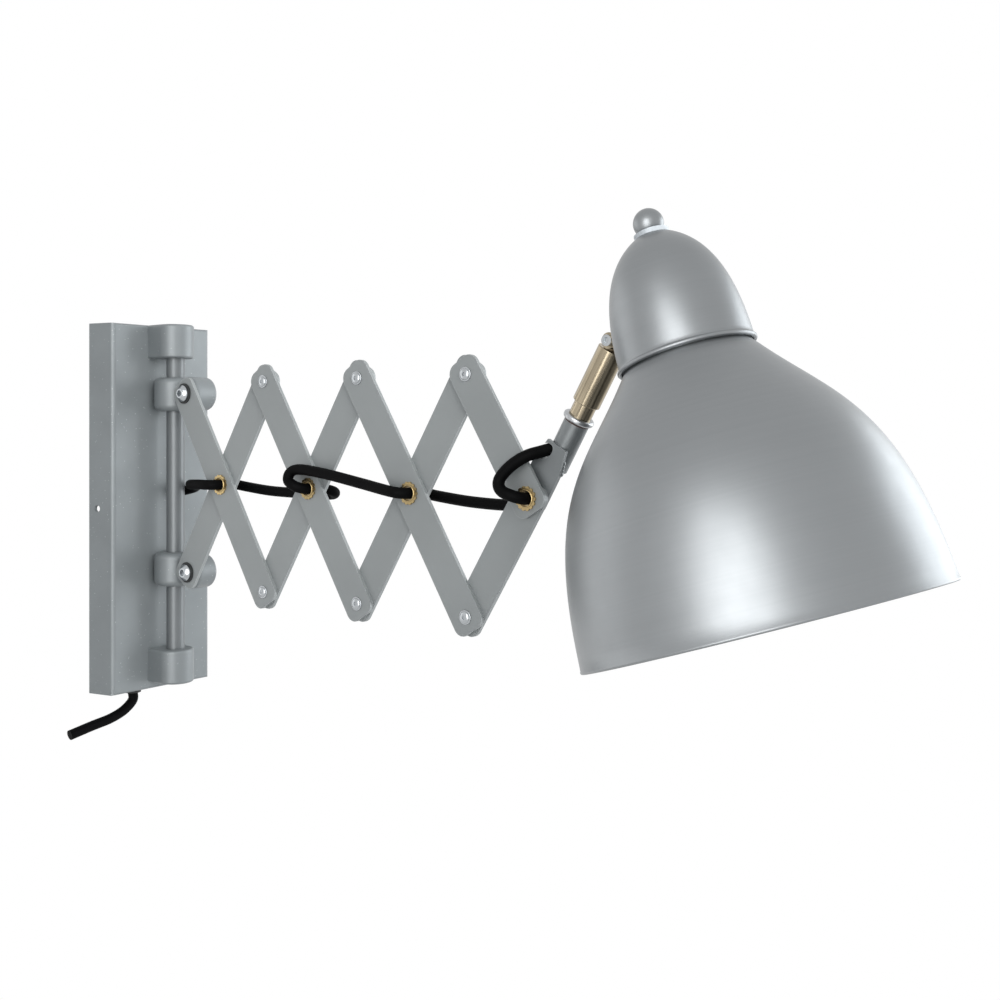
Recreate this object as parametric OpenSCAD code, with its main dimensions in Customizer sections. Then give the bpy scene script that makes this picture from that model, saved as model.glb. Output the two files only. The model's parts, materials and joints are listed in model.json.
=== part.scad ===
// Accordion wall lamp, millimetres. X points into the room, Y along the wall, Z up.
// The origin is the centre of the wall plate's wall face.
// The arm is four scissor stages. Every bar follows one fold angle, so the whole
// arm opens and closes from a single number.

/* [Wall plate] */
// height of the plate
plate_h = 240; // [220:5:280]
// width of the plate at the wall
plate_wall_w = 85; // [80:1:95]
// width of the plate's front face
plate_front_w = 76; // [66:1:78]
// depth from the wall to the front face
plate_d = 20; // [18:1:24]
// sheet thickness of the plate
plate_t = 1.5; // [1:0.1:2]
// radius of the plate's front edges
plate_edge_r = 3; // [2:0.5:4]
// diameter of the small open hole in the near flank
flank_hole_d = 4.4; // [4:0.1:5]
// diameter of the lock screw's hole in the far flank
lock_hole_d = 5; // [4.6:0.1:6]
// distance of the flank holes from the wall
flank_hole_x = 7; // [6:0.5:9]

/* [Rod and lugs] */
// distance of the rod axis from the wall
rod_x = 34; // [34:0.5:38]
// diameter of the rod
rod_d = 11.8; // [11:0.1:12.2]
// diameter of the lugs' round nose
lug_d = 23.5; // [22:0.5:25]
// height of each lug
lug_h = 22; // [20:1:24]
// distance of the lower lug from the plate's bottom edge
lower_lug_rise = 5; // [4:1:8]
// edge radius of the lugs
lug_edge_r = 1.6; // [1:0.2:2]
// depth of the bearing hole in each lug
lug_bore_h = 18; // [16:1:19]

/* [Collars] */
// diameter of the sleeve round the rod
sleeve_d = 27; // [25:0.5:27.2]
// height of the sleeve
sleeve_h = 22; // [20:1:24]
// edge radius of the sleeve
sleeve_edge_r = 4; // [3:0.5:5]
// diameter of the hub beside the sleeve
hub_d = 21.5; // [20:0.5:22.5]
// distance from the rod axis to the hub axis
hub_out = 25; // [24:0.5:27]
// how far the hub reaches behind the rod's plane
hub_back = 6; // [5:0.5:8]
// edge radius of the hub
hub_edge_r = 2; // [1:0.5:3]
// height of the top collar's pivot above the plate's centre
top_pivot_z = 74.2; // [68:0.2:78]

/* [Scissor arm] */
// angle of the bars from level at rest
fold_angle = 58; // [50:1:66]
// pivot distance on the collar side half of the first bars
first_half = 67.5; // [62:0.5:70]
// pivot distance of every other half bar
half_bar = 74.5; // [70:0.5:78]
// width of the bars
bar_w = 20; // [18:0.5:21]
// thickness of the bars
bar_t = 2; // [1.8:0.1:2.2]
// bar end beyond the last pivot
bar_over = 8.5; // [8:0.5:10]
// corner radius of the bar ends
bar_corner_r = 6; // [4:0.5:8]
// distance of the arm's middle plane from the rod's plane
arm_out = 10; // [10:0.2:11]

/* [Pivots] */
// diameter of the pivot screws' heads
screw_head_d = 10.6; // [10:0.2:11]
// height of the pivot screws' heads
screw_head_h = 3.3; // [2.8:0.1:3.6]
// diameter of the pivot screws' shanks
screw_d = 6; // [5:0.5:6]
// width of the pivot screws' sockets
socket_w = 4; // [3:0.5:5]
// diameter of the rivets' domes
rivet_head_d = 5.8; // [5:0.2:7]
// height of the rivets' domes
rivet_head_h = 1.8; // [1.4:0.1:2]
// diameter of the rivets' shanks
rivet_d = 4.2; // [3.6:0.2:4.4]
// outer diameter of the eyelets' barrels
eyelet_d = 9.4; // [9.2:0.1:10]
// diameter of the hole through the eyelets
eyelet_hole_d = 7.8; // [7.6:0.1:8]
// diameter over the eyelets' notched flange
eyelet_flange_d = 12.6; // [12:0.2:14]
// thickness of the eyelets' flanges
eyelet_flange_t = 0.8; // [0.6:0.1:0.9]
// number of petals of the eyelets' flange
petal_count = 14; // [12:1:16]

/* [Head bracket] */
// angle of the head tube from level at rest
head_angle = 59.5; // [56:0.5:62]
// width of the flat tab
tab_w = 18; // [16:0.5:20]
// outer diameter of the bracket tube
bracket_d = 13; // [12.6:0.2:14]
// wall of the bracket tube
bracket_wall = 1.5; // [1.3:0.1:1.6]
// start of the bracket tube from the last eyelet
bracket_start = 18; // [16:0.5:20]
// end of the bracket tube from the last eyelet
bracket_end = 44; // [42:0.5:46]
// diameter of the bright ring
ring_d = 16; // [15.4:0.2:17]
// length of the bright ring
ring_h = 3; // [2.4:0.2:3.6]
// thickness of the brown washer under the ring
ring_washer_t = 0.8; // [0.6:0.1:1]
// outer diameter of the brass inner tube
inner_d = 11.6; // [11:0.1:12]
// hole through the brass inner tube
inner_hole_d = 6.8; // [6.6:0.1:7]
// outer diameter of the brass sleeve
swivel_d = 14.2; // [13.8:0.1:15]
// start of the brass sleeve from the last eyelet
swivel_start = 55; // [53:0.5:57]
// end of the brass sleeve from the last eyelet
swivel_end = 85; // [83:0.5:85]
// distance of the knuckle screw from the last eyelet
knuckle_at = 89.5; // [89.5:0.5:92]
// diameter of the knuckle's ears
ear_d = 8; // [7:0.5:8]
// thickness of each ear
ear_t = 4.6; // [4:0.2:4.6]
// diameter of the knuckle screw
knuckle_screw_d = 3; // [2.5:0.5:3]

/* [Shade] */
// lean of the shade axis from upright
shade_lean = 18; // [12:1:22]
// distance from the knuckle to the shade axis
shade_off = 36.5; // [36.5:0.5:40]
// height of the knuckle above the rim along the shade axis
knuckle_rise = 147.5; // [144:0.5:150]
// diameter of the rim
rim_d = 167.4; // [160:0.2:180]
// height of the bell
bell_h = 121.5; // [118:0.5:124]
// diameter of the bell's shoulder
bell_neck_d = 66; // [65:0.5:68]
// diameter of the dome's skirt
dome_d = 63.8; // [62:0.2:65]
// height of the dome's lower edge above the rim
dome_start = 125; // [124.5:0.5:126]
// height of the dome's top above the rim
dome_top = 185.8; // [183:0.2:190]
// wall of the bell and the dome
shade_t = 1; // [0.8:0.1:1.2]
// diameter of the ball finial
finial_d = 14.6; // [13:0.2:16]
// diameter of the pale washer under the finial
finial_washer_d = 16.8; // [16:0.2:18]
// height of the pale washer
finial_washer_h = 2.2; // [1.8:0.1:2.6]

/* [Lampholder] */
// outer diameter of the lampholder
holder_d = 39; // [37:0.5:41]
// height of the holder's open end above the rim
holder_low = 104; // [100:1:108]
// height of the joint between shell and cap above the rim
holder_mid = 132; // [130:1:134]
// height of the cap's top above the rim
holder_top = 160; // [158:1:161]
// inner diameter of the screw shell
screw_shell_d = 27; // [26.6:0.1:27.4]
// diameter of the hollow stem
stem_d = 10; // [9.6:0.1:10]

/* [Cords] */
// diameter of the arm cord
arm_cord_d = 6.2; // [5.8:0.1:6.4]
// diameter of the mains lead
mains_cord_d = 6.3; // [6:0.1:6.6]
// diameter of the head wire
head_wire_d = 3; // [2.6:0.1:3]

/* [Hidden] */
$fn = 48;
// shift that keeps a cutter proud of the face it cuts
eps = 0.5;
// gap between faces of parts that move on each other
face_gap = 0.1;
// radial clearance of a running fit
run_gap = 0.05;
// gap between seated parts of one body
seat_gap = 0.02;
// edge break on the plate's wall side
wall_edge_r = 0.4;
// lug length that reaches into the plate's front sheet
lug_weld = 0.6;

// Bracket and wiring behind the plate.
strap_w = 60;
strap_h = 34;
strap_t = 2;
strap_ear_d = 11;
strap_hole_d = 5.2;
strap_hole_span = 40;
lock_screw_d = 4;
lock_head_d = 7;
lock_head_h = 2.4;
lock_len = 16;
block_w = 22;
block_h = 20;
block_d = 10;
block_screw_d = 3;
block_foot_z = -14;
cord_in_y = 12;
cord_in_z = 10;
grommet_d = 11;
grommet_lip_t = 1.2;
grommet_neck_d = 8.6;
lead_x = 12.5;
lead_y = -18;
lead_block_y = -5;
bushing_d = 10.6;
bushing_lip_t = 1.6;
bushing_neck_d = 8.6;
clamp_w = 18;
clamp_h = 9;
clamp_z = -96;
clamp_foot_d = 6;

// Pivot details.
pivot_washer_t = 0.6;
pivot_washer_over = 1.2;
screw_reach = 12;
socket_depth = 2;
head_corner_share = 0.6;
rivet_back_h = 0.7;
dimple_d = 2.2;
petal_d = 2.4;
lip_r = 0.5;
grub_d = 4;
grub_in = 1;
neck_t = 12;
neck_h = 16;

// Head details.
tab_top_w = 12.4;
weld_r = 1.7;
weld_count = 4;
weld_at = 19;
weld_step = 1.7;
weld_lean_share = 0.9;
ring_edge_share = 0.4;
cord_hole_d = 7.4;
cord_hole_share = 1.3;
stem_thread_d = 9.9;
stem_thread_at = 36;
stem_top_at = 78;
plug_foot_at = 81.6;
core_at = 76;
ear_web_share = 0.9;
wire_y = 3.95;
wire_hole_d = 3.2;
knuckle_head_d = 5.6;
knuckle_head_h = 2;
dome_bead_r = 0.5;
rim_bead_r = 0.9;
bell_step = 3;
neck_gap = 0.3;
neck_in_h = 8;
stud_d = 4;
stud_in = 8;
stud_washer_d = 8;
stud_nut_d = 7.6;
stud_slack = 0.9;
stud_nut_t = 3;
stud_washer_t = 1;
finial_ball_at = 4.5;
finial_bore_h = 4;
stem_nut_d = 17;
stem_nut_t = 4;
stem_nut_drop = 5.6;
stem_wall = 1.5;
stem_foot_in = 8;
holder_t = 1.6;
cap_neck_d = 14;
cap_neck_h = 6;
cap_edge_r = 5;
insulator_t = 6;
shell_len = 21;
thread_shell_t = 0.6;
centre_d = 7;
centre_h = 2;
side_contact_w = 5;
side_contact_h = 1;
wire_bush_d = 7;
wire_bush_t = 1.2;
wire_bush_gap = 0.3;
wire_bush_at = 160;

// Control points of the bell's curve.
bell_low_share = 0.6486;
bell_lean_share = 0.0252;
bell_high_share = 0.4846;
bell_drop_share = 0.2687;
bell_steps = 26;
// Control points of the dome's curve.
dome_low_share = 0.4796;
dome_high_share = 0.7722;
dome_drop_share = 0.1624;
dome_steps = 16;

// Values that follow from the sizes above.
hub_x = rod_x + hub_out;
first_x = hub_x + first_half * cos(fold_angle);
mid_z = top_pivot_z - first_half * sin(fold_angle);
low_pivot_z = mid_z - first_half * sin(fold_angle);
stage = half_bar * cos(fold_angle);
rise = half_bar * sin(fold_angle);
eye_x = [for (i = [0:3]) first_x + 2 * i * stage];
head_x = eye_x[3];
first_bar = [0, first_half, first_half + half_bar];
full_bar = [0, half_bar, 2 * half_bar];
end_bar = [0, half_bar];
front_y = -arm_out - face_gap / 2 - bar_t;
back_y = -arm_out + face_gap / 2;
back_face_y = back_y + bar_t;
tab_y = back_face_y + face_gap;
tab_back_y = tab_y + bar_t;
top_lug_z = plate_h / 2 - lug_h;
low_lug_z = -plate_h / 2 + lower_lug_rise;
dome_r = dome_d / 2;
neck_r = bell_neck_d / 2;
rim_r = rim_d / 2;
neck_in_r = dome_r - shade_t - neck_gap;
bore_d = bracket_d - 2 * bracket_wall;
ring_at = bracket_end + ring_washer_t;
ear_y = ear_t / 2;
shade_y = -ear_t - face_gap;
washer_top = dome_top + finial_washer_h;

// Cord routes: hand chosen points, each segment ends at an eyelet's middle.
route_r_plate = [[8, 6, -13.9], [8, 6, -9], [8.4, 8.6, -1], [11, 11.6, 6.8], [15.6, 12, 10],
    [20, 12, 10]];
route_0 = [[20.1, 12, 10], [26, 12, 10], [35, 12.8, 11.8], [42, 10.6, 13.4], [49, 6, 14.8]];
route_00 = [[49, 6, 14.8], [56, 1.4, 16.2], [66, -7.6, 17.4], [74, -14.4, 17.8], [82, -17.6, 18],
    [89, -18.6, 17.6], [93.6, -17, 17.1], [94.8, -13.6, 17], [94.8, -10, 17]];
route_1 = [[94.8, -10, 17], [94.8, -6, 17], [97, -0.6, 16.6], [103, 2.4, 15.4], [124, 2.6, 13.6],
    [148, 2.6, 13], [166, 4.6, 12.6], [176, 5.6, 13], [180.4, 2.2, 14.8], [177, -2.4, 16.6],
    [173.7, -6.2, 17], [173.7, -10, 17]];
route_2 = [[173.7, -10, 17], [173.7, -14.4, 17], [170.4, -18.6, 18.4], [164.8, -19.2, 21.6],
    [165.4, -18, 26.4], [173, -17, 28.2], [194, -16.9, 26], [220, -16.9, 21.8], [240, -18, 18.6],
    [249, -18, 17.4], [252.7, -14.4, 17], [252.7, -10, 17]];
route_3 = [[252.7, -10, 17], [252.7, -6, 17], [255.4, -0.8, 16.4], [262, 2, 15], [284, 2.6, 12.8],
    [308, 3.2, 12], [322, 3, 13.6], [329.4, 0.6, 15.8], [331.7, -4.6, 17], [331.7, -10, 17]];
route_4 = [[331.7, -10, 17], [331.7, -14.6, 17], [328, -18.8, 18.4], [321.4, -19.4, 21],
    [319.6, -18.6, 26], [325, -17.2, 32.6], [333, -14.6, 38], [339, -8.6, 40.6],
    [344.2, -3.4, 42.6], [347.2, -0.9, 44], [348.8, 0, 46.1], [349.9, 0, 47.95]];
route_wire = [[370.4, 0, 82.8], [371, 0, 83.8], [372.1, 2, 85.6], [373.1, 3.7, 87.3],
    [374.3, 3.95, 89.4], [375.3, 3.95, 91.1], [377.2, 4.1, 95.4], [376.9, 4.7, 100.2],
    [376, 5, 105.2], [379.6, 4.15, 108.85], [382.5, 3.3, 109], [386.3, 2.2, 109.25],
    [389.6, 0.9, 112.8], [393, -0.9, 116.4], [396.2, -2.6, 117.6], [397.8, -3.2, 116.1],
    [398.4, -3.2, 114.25]];
route_lead_in = [[9, -5, -34.1], [9, -5, -40], [10.4, -10, -54], [12.2, -17, -68], [12.5, -18, -78],
    [12.5, -18, -86], [12.5, -18, -100], [12.5, -18, -121.6]];
route_lead = [[12.5, -18, -121.7], [12.5, -18, -127], [12.8, -25, -132.4], [12.6, -35, -136],
    [11.8, -48, -138.4], [10.6, -63, -141.6]];

// Outline helpers.
function unit(v) = v / norm(v);
function half_corner(a, b, c) = acos(unit(a - b) * unit(c - b)) / 2;
function corner_in(a, b, c, r) = b + unit(a - b) * r / tan(half_corner(a, b, c));
function corner_mid(a, b, c, r) =
    b + unit(unit(a - b) + unit(c - b)) * r / sin(half_corner(a, b, c));
function at(p, i) = p[(i + len(p)) % len(p)];

// Rounded convex outline with one radius for each corner.
module rounded_outline(p, r) {
    polygon([for (i = [0:len(p) - 1])
        each [corner_in(at(p, i - 1), p[i], at(p, i + 1), r[i]),
            corner_in(at(p, i + 1), p[i], at(p, i - 1), r[i])]]);
    for (i = [0:len(p) - 1])
        translate(corner_mid(at(p, i - 1), p[i], at(p, i + 1), r[i]))
            circle(r = r[i]);
}

// Cubic curve through two end points.
function curve_at(c, t) =
    c[0] * pow(1 - t, 3) + c[1] * 3 * t * pow(1 - t, 2) + c[2] * 3 * t * t * (1 - t) + c[3] * t * t * t;
function curve(c, n) = [for (i = [0:n]) curve_at(c, i / n)];
// Unit normal of a profile segment that points towards the axis.
function inward(a, b) = let (d = unit(b - a)) [-d[1], d[0]];
// Control points moved inwards by one wall.
function inner_of(c, t) = [c[0] + inward(c[0], c[1]) * t, c[1] + inward(c[0], c[1]) * t,
    c[2] + inward(c[2], c[3]) * t, c[3] + inward(c[2], c[3]) * t];

// Smooth route with one extra ring between neighbouring points.
function mid_point(p, i) =
    let (a = p[max(i - 1, 0)], b = p[i], c = p[i + 1], d = p[min(i + 2, len(p) - 1)])
    (b + c) * 9 / 16 - (a + d) / 16;
function smooth(p) = [for (i = [0:len(p) - 1]) each (i < len(p) - 1 ? [p[i], mid_point(p, i)] : [p[i]])];
// Ring directions; both ends are square to the route's own first and last stretch.
function heading(p, i, ends) =
    i == 0 ? ends[0] : i == len(p) - 1 ? ends[1] : unit(p[i + 1] - p[i - 1]);
// A side vector carried along the route without twist.
function carry(p, i, v, ends) =
    let (t = heading(p, i, ends), w = unit(v - t * (v * t)))
    i == len(p) - 1 ? [w] : concat([w], carry(p, i + 1, w, ends));
cord_sides = 10;
function ring_points(p, s, r, ends) = [for (i = [0:len(p) - 1])
    let (t = heading(p, i, ends), b = cross(t, s[i]))
    for (k = [0:cord_sides - 1])
        p[i] + r * (s[i] * cos(360 * k / cord_sides) + b * sin(360 * k / cord_sides))];
module cord(route, d) {
    p = smooth(route);
    last = len(route) - 1;
    ends = [unit(route[1] - route[0]), unit(route[last] - route[last - 1])];
    upright = abs(ends[0][2]) > abs(ends[0][0]) + abs(ends[0][1]);
    side = carry(p, 0, upright ? [0, 1, 0] : [0, 0, 1], ends);
    n = cord_sides;
    polyhedron(ring_points(p, side, d / 2, ends), concat(
        [[for (k = [0:n - 1]) k]],
        [for (i = [0:len(p) - 2]) for (k = [0:n - 1])
            [i * n + k, (i + 1) * n + k, (i + 1) * n + (k + 1) % n, i * n + (k + 1) % n]],
        [[for (k = [n - 1:-1:0]) (len(p) - 1) * n + k]]));
}

// Cylinder along Y from one plane to another.
module along_y(r, low, high) {
    translate([0, low, 0])
        rotate([-90, 0, 0])
            cylinder(r = r, h = high - low);
}

// Hexagon prism, measured across its corners.
module hex_prism(d, h) {
    linear_extrude(h)
        polygon([for (i = [0:5]) [cos(60 * i), sin(60 * i)] * d / 2]);
}

module ring(outer, inner, h) {
    difference() {
        cylinder(d = outer, h = h);
        translate([0, 0, -eps])
            cylinder(d = inner, h = h + 2 * eps);
    }
}

// Cylinder with round edges.
module soft_cylinder(r, h, e) {
    translate([0, 0, e])
        cylinder(r = r, h = h - 2 * e);
    cylinder(r = r - e, h = h);
    for (z = [e, h - e])
        translate([0, 0, z])
            rotate_extrude()
                translate([r - e, 0])
                    circle(r = e);
}

// Frames.
module at_rod() { translate([rod_x, 0, 0]) children(); }
module at_point(x, z) { translate([x, 0, z]) children(); }
// Z along the head tube, measured from the last eyelet.
module head_frame() {
    translate([head_x, 0, mid_z])
        rotate([0, 90 - head_angle, 0])
            children();
}
// Z along the shade axis from the rim, the knuckle on the minus X side.
module shade_frame() {
    translate([head_x + knuckle_at * cos(head_angle), shade_y, mid_z + knuckle_at * sin(head_angle)])
        rotate([0, -shade_lean, 0])
            translate([shade_off, 0, -knuckle_rise])
                children();
}

// The plate is one bent shell, open at the wall.
module plate_section(wall_w, front_w, depth, r) {
    rounded_outline([[0, -wall_w / 2], [depth, -front_w / 2], [depth, front_w / 2], [0, wall_w / 2]],
        [wall_edge_r, r, r, wall_edge_r]);
}
module wall_plate() {
    color([0.55, 0.57, 0.58]) difference() {
        intersection() {
            translate([0, 0, -plate_h / 2])
                linear_extrude(plate_h)
                    plate_section(plate_wall_w, plate_front_w, plate_d, plate_edge_r);
            translate([0, plate_wall_w, 0])
                rotate([90, 0, 0])
                    linear_extrude(2 * plate_wall_w)
                        rounded_outline([[0, -plate_h / 2], [plate_d, -plate_h / 2],
                            [plate_d, plate_h / 2], [0, plate_h / 2]],
                            [wall_edge_r, plate_edge_r / 2, plate_edge_r / 2, wall_edge_r]);
        }
        translate([-plate_t, 0, plate_t - plate_h / 2])
            linear_extrude(plate_h - 2 * plate_t)
                plate_section(plate_wall_w - 2 * plate_t, plate_front_w - 2 * plate_t, plate_d,
                    plate_edge_r - plate_t);
        translate([flank_hole_x, 0, 0]) {
            along_y(flank_hole_d / 2, -plate_wall_w, 0);
            along_y(lock_hole_d / 2, 0, plate_wall_w);
        }
        translate([plate_d - 2 * plate_t, cord_in_y, cord_in_z])
            rotate([0, 90, 0])
                cylinder(d = grommet_neck_d, h = 3 * plate_t);
        translate([lead_x, lead_y, -plate_h / 2 - plate_t])
            cylinder(d = bushing_neck_d, h = 3 * plate_t);
    }
}

// A lug is a half round nose on a short block, welded to the plate's front.
module lug_shape() {
    r = lug_d / 2;
    reach = rod_x - plate_d + lug_weld;
    soft_cylinder(r, lug_h, lug_edge_r);
    for (e = [0, lug_edge_r])
        translate([-reach, -r + lug_edge_r - e, e])
            cube([reach, 2 * (r - lug_edge_r + e), lug_h - 2 * e]);
    for (s = [-1, 1], z = [lug_edge_r, lug_h - lug_edge_r])
        translate([-reach, s * (r - lug_edge_r), z])
            rotate([0, 90, 0])
                cylinder(r = lug_edge_r, h = reach);
}
module lug(flip) {
    at_rod() difference() {
        intersection() {
            lug_shape();
            translate([plate_d - rod_x, -lug_d, -lug_h])
                cube([2 * lug_d, 2 * lug_d, 3 * lug_h]);
        }
        translate([0, 0, flip ? lug_h - lug_bore_h : -eps])
            cylinder(d = rod_d + 2 * run_gap, h = lug_bore_h + eps);
    }
}
module lugs() {
    color([0.53, 0.55, 0.56]) {
        translate([0, 0, top_lug_z]) lug(false);
        translate([0, 0, low_lug_z]) lug(true);
    }
}

// Strap behind the plate with two wall screw holes and two ears for the lock screws.
module wall_bracket() {
    color([0.6, 0.6, 0.6]) difference() {
        union() {
            translate([0, -strap_w / 2, -strap_h / 2])
                cube([strap_t, strap_w, strap_h]);
            for (s = [-1, 1])
                translate([0, s * (strap_w - strap_t) / 2 - strap_t / 2, -strap_ear_d / 2])
                    cube([flank_hole_x, strap_t, strap_ear_d]);
            translate([flank_hole_x, 0, 0])
                for (s = [-1, 1])
                    along_y(strap_ear_d / 2, s * (strap_w - strap_t) / 2 - strap_t / 2,
                        s * (strap_w - strap_t) / 2 + strap_t / 2);
        }
        translate([-strap_h, -strap_w, -strap_h])
            cube([strap_h, 2 * strap_w, 2 * strap_h]);
        translate([flank_hole_x, 0, 0])
            along_y(lock_screw_d / 2, -strap_w, strap_w);
        for (s = [-1, 1])
            translate([-eps, s * strap_hole_span / 2, 0])
                rotate([0, 90, 0])
                    cylinder(d = strap_hole_d, h = strap_t + 2 * eps);
    }
}
// Lock screw through the far flank into the strap's ear.
lock_seat = plate_wall_w / 2 + face_gap;
module lock_screw() {
    color([0.7, 0.7, 0.7]) translate([flank_hole_x, 0, 0]) difference() {
        union() {
            along_y(lock_screw_d / 2, lock_seat - lock_len, lock_seat);
            along_y(lock_head_d / 2, lock_seat, lock_seat + lock_head_h);
        }
        translate([0, lock_seat + lock_head_h - socket_depth / 2, 0])
            rotate([-90, 0, 0])
                hex_prism(socket_w * head_corner_share, socket_depth);
    }
}
// Terminal block with two wire holes and its two screws.
module terminal_block() {
    color([0.92, 0.92, 0.9]) difference() {
        translate([strap_t, -block_w / 2, block_foot_z - block_h])
            cube([block_d, block_w, block_h]);
        for (y = [-lead_block_y, lead_block_y])
            translate([strap_t + block_d - socket_depth, y, block_foot_z - block_h / 2])
                rotate([0, 90, 0])
                    cylinder(d = block_screw_d + 2 * seat_gap, h = 2 * socket_depth);
    }
}
// Clamp that holds the mains lead behind the plate.
clamp_x = plate_d - plate_t;
module lead_clamp() {
    color([0.15, 0.15, 0.15]) difference() {
        translate([lead_x - mains_cord_d / 2 - clamp_foot_d / 3, lead_y - clamp_w / 2 , clamp_z])
            cube([clamp_x - seat_gap - lead_x + mains_cord_d / 2 + clamp_foot_d / 3, clamp_w, clamp_h]);
        translate([lead_x, lead_y, clamp_z - eps])
            cylinder(d = mains_cord_d + 2 * seat_gap, h = clamp_h + 2 * eps);
    }
}
// Rubber grommet where the arm cord leaves the plate.
module cord_grommet() {
    translate([plate_d - plate_t, cord_in_y, cord_in_z])
        rotate([0, 90, 0]) difference() {
            union() {
                translate([0, 0, -grommet_lip_t])
                    cylinder(d = grommet_d, h = grommet_lip_t - seat_gap);
                translate([0, 0, -grommet_lip_t])
                    cylinder(d = grommet_neck_d - seat_gap, h = plate_t + 2 * grommet_lip_t);
                translate([0, 0, plate_t + seat_gap])
                    cylinder(d = grommet_d, h = grommet_lip_t);
            }
            translate([0, 0, -2 * grommet_lip_t])
                cylinder(d = arm_cord_d + 2 * face_gap, h = plate_t + 4 * grommet_lip_t);
        }
}
module lead_bushing() {
    translate([lead_x, lead_y, -plate_h / 2]) difference() {
        union() {
            translate([0, 0, -bushing_lip_t])
                cylinder(d = bushing_d, h = bushing_lip_t - seat_gap);
            translate([0, 0, -bushing_lip_t])
                cylinder(d = bushing_neck_d - seat_gap, h = plate_t + 2 * bushing_lip_t);
            translate([0, 0, plate_t + seat_gap])
                cylinder(d = bushing_d, h = bushing_lip_t);
        }
        translate([0, 0, -2 * bushing_lip_t])
            cylinder(d = mains_cord_d + 2 * face_gap, h = plate_t + 4 * bushing_lip_t);
    }
}
module plate_bushings() {
    color([0.08, 0.08, 0.08]) {
        cord_grommet();
        lead_bushing();
    }
}
module inside_cords() {
    color([0.05, 0.05, 0.05]) {
        cord(route_r_plate, arm_cord_d);
        cord(route_lead_in, mains_cord_d);
    }
}
module mains_lead() { color([0.05, 0.05, 0.05]) cord(route_lead, mains_cord_d); }

// Rod, turning in the lugs.
rod_low = low_lug_z + lug_h - lug_bore_h + face_gap;
rod_high = top_lug_z + lug_bore_h - face_gap;
module rod() {
    color([0.6, 0.61, 0.62]) at_rod() difference() {
        translate([0, 0, rod_low])
            cylinder(d = rod_d, h = rod_high - rod_low);
        translate([0, 0, top_pivot_z])
            along_y(grub_d / 2 + seat_gap, rod_d / 2 - grub_in, rod_d);
    }
}

// Collar: a rounded sleeve on the rod, a neck and a hub that ends at the bar's back.
module collar(face_y, bore) {
    difference() {
        union() {
            translate([rod_x, 0, -sleeve_h / 2])
                soft_cylinder(sleeve_d / 2, sleeve_h, sleeve_edge_r);
            translate([rod_x, -neck_t / 2, -neck_h / 2])
                cube([hub_out, neck_t, neck_h]);
            translate([hub_x, face_y, 0])
                rotate([-90, 0, 0])
                    soft_cylinder(hub_d / 2, hub_back - face_y, hub_edge_r);
        }
        translate([rod_x, 0, -sleeve_h])
            cylinder(d = bore, h = 2 * sleeve_h);
        translate([hub_x, 0, 0])
            along_y(screw_d / 2 + seat_gap, face_y - eps, face_y + screw_reach);
    }
}
module top_collar() {
    color([0.53, 0.55, 0.56]) difference() {
        at_point(0, top_pivot_z) collar(-arm_out, rod_d + 2 * seat_gap);
        translate([rod_x, 0, top_pivot_z])
            along_y(grub_d / 2 + seat_gap, 0, sleeve_d);
    }
}
module collar_grub_screw() {
    color([0.2, 0.2, 0.2]) translate([rod_x, 0, top_pivot_z]) difference() {
        along_y(grub_d / 2, rod_d / 2 - grub_in + seat_gap, sleeve_d / 2 - grub_in);
        translate([0, sleeve_d / 2 - grub_in - socket_depth, 0])
            rotate([-90, 0, 0])
                hex_prism(grub_d * head_corner_share, 2 * socket_depth);
    }
}
module bottom_collar() {
    color([0.53, 0.55, 0.56])
        at_point(0, low_pivot_z) collar(back_face_y + run_gap, rod_d + 4 * run_gap);
}

// Button head screw with a socket and a dark washer, seated on a bar face.
module pivot_screw(bar_face_y, hub_face_y) {
    washer_y = bar_face_y - face_gap;
    head_y = washer_y - pivot_washer_t;
    along_y(screw_d / 2, head_y - seat_gap, hub_face_y + screw_reach - face_gap);
    difference() {
        intersection() {
            along_y(screw_head_d / 2, head_y - screw_head_h, head_y);
            translate([0, head_y + screw_head_d / 4, 0])
                sphere(d = screw_head_d * (1 + eps / 2));
        }
        translate([0, head_y - screw_head_h - eps, 0])
            rotate([-90, 0, 0])
                hex_prism(socket_w / cos(30), socket_depth + eps);
    }
}
module pivot_washer(bar_face_y) {
    washer_y = bar_face_y - face_gap;
    difference() {
        along_y(screw_head_d / 2 + pivot_washer_over, washer_y - pivot_washer_t + seat_gap, washer_y);
        along_y(screw_d / 2 + seat_gap, washer_y - 2 * pivot_washer_t, washer_y + eps);
    }
}
module top_pivot_washer() {
    color([0.1, 0.1, 0.1]) at_point(hub_x, top_pivot_z) pivot_washer(front_y);
}
module bottom_pivot_washer() {
    color([0.1, 0.1, 0.1]) at_point(hub_x, low_pivot_z) pivot_washer(back_y);
}
module top_pivot_screw() {
    color([0.75, 0.76, 0.76]) at_point(hub_x, top_pivot_z) pivot_screw(front_y, -arm_out);
}
module bottom_pivot_screw() {
    color([0.75, 0.76, 0.76]) at_point(hub_x, low_pivot_z) pivot_screw(back_y, back_face_y);
}

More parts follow.
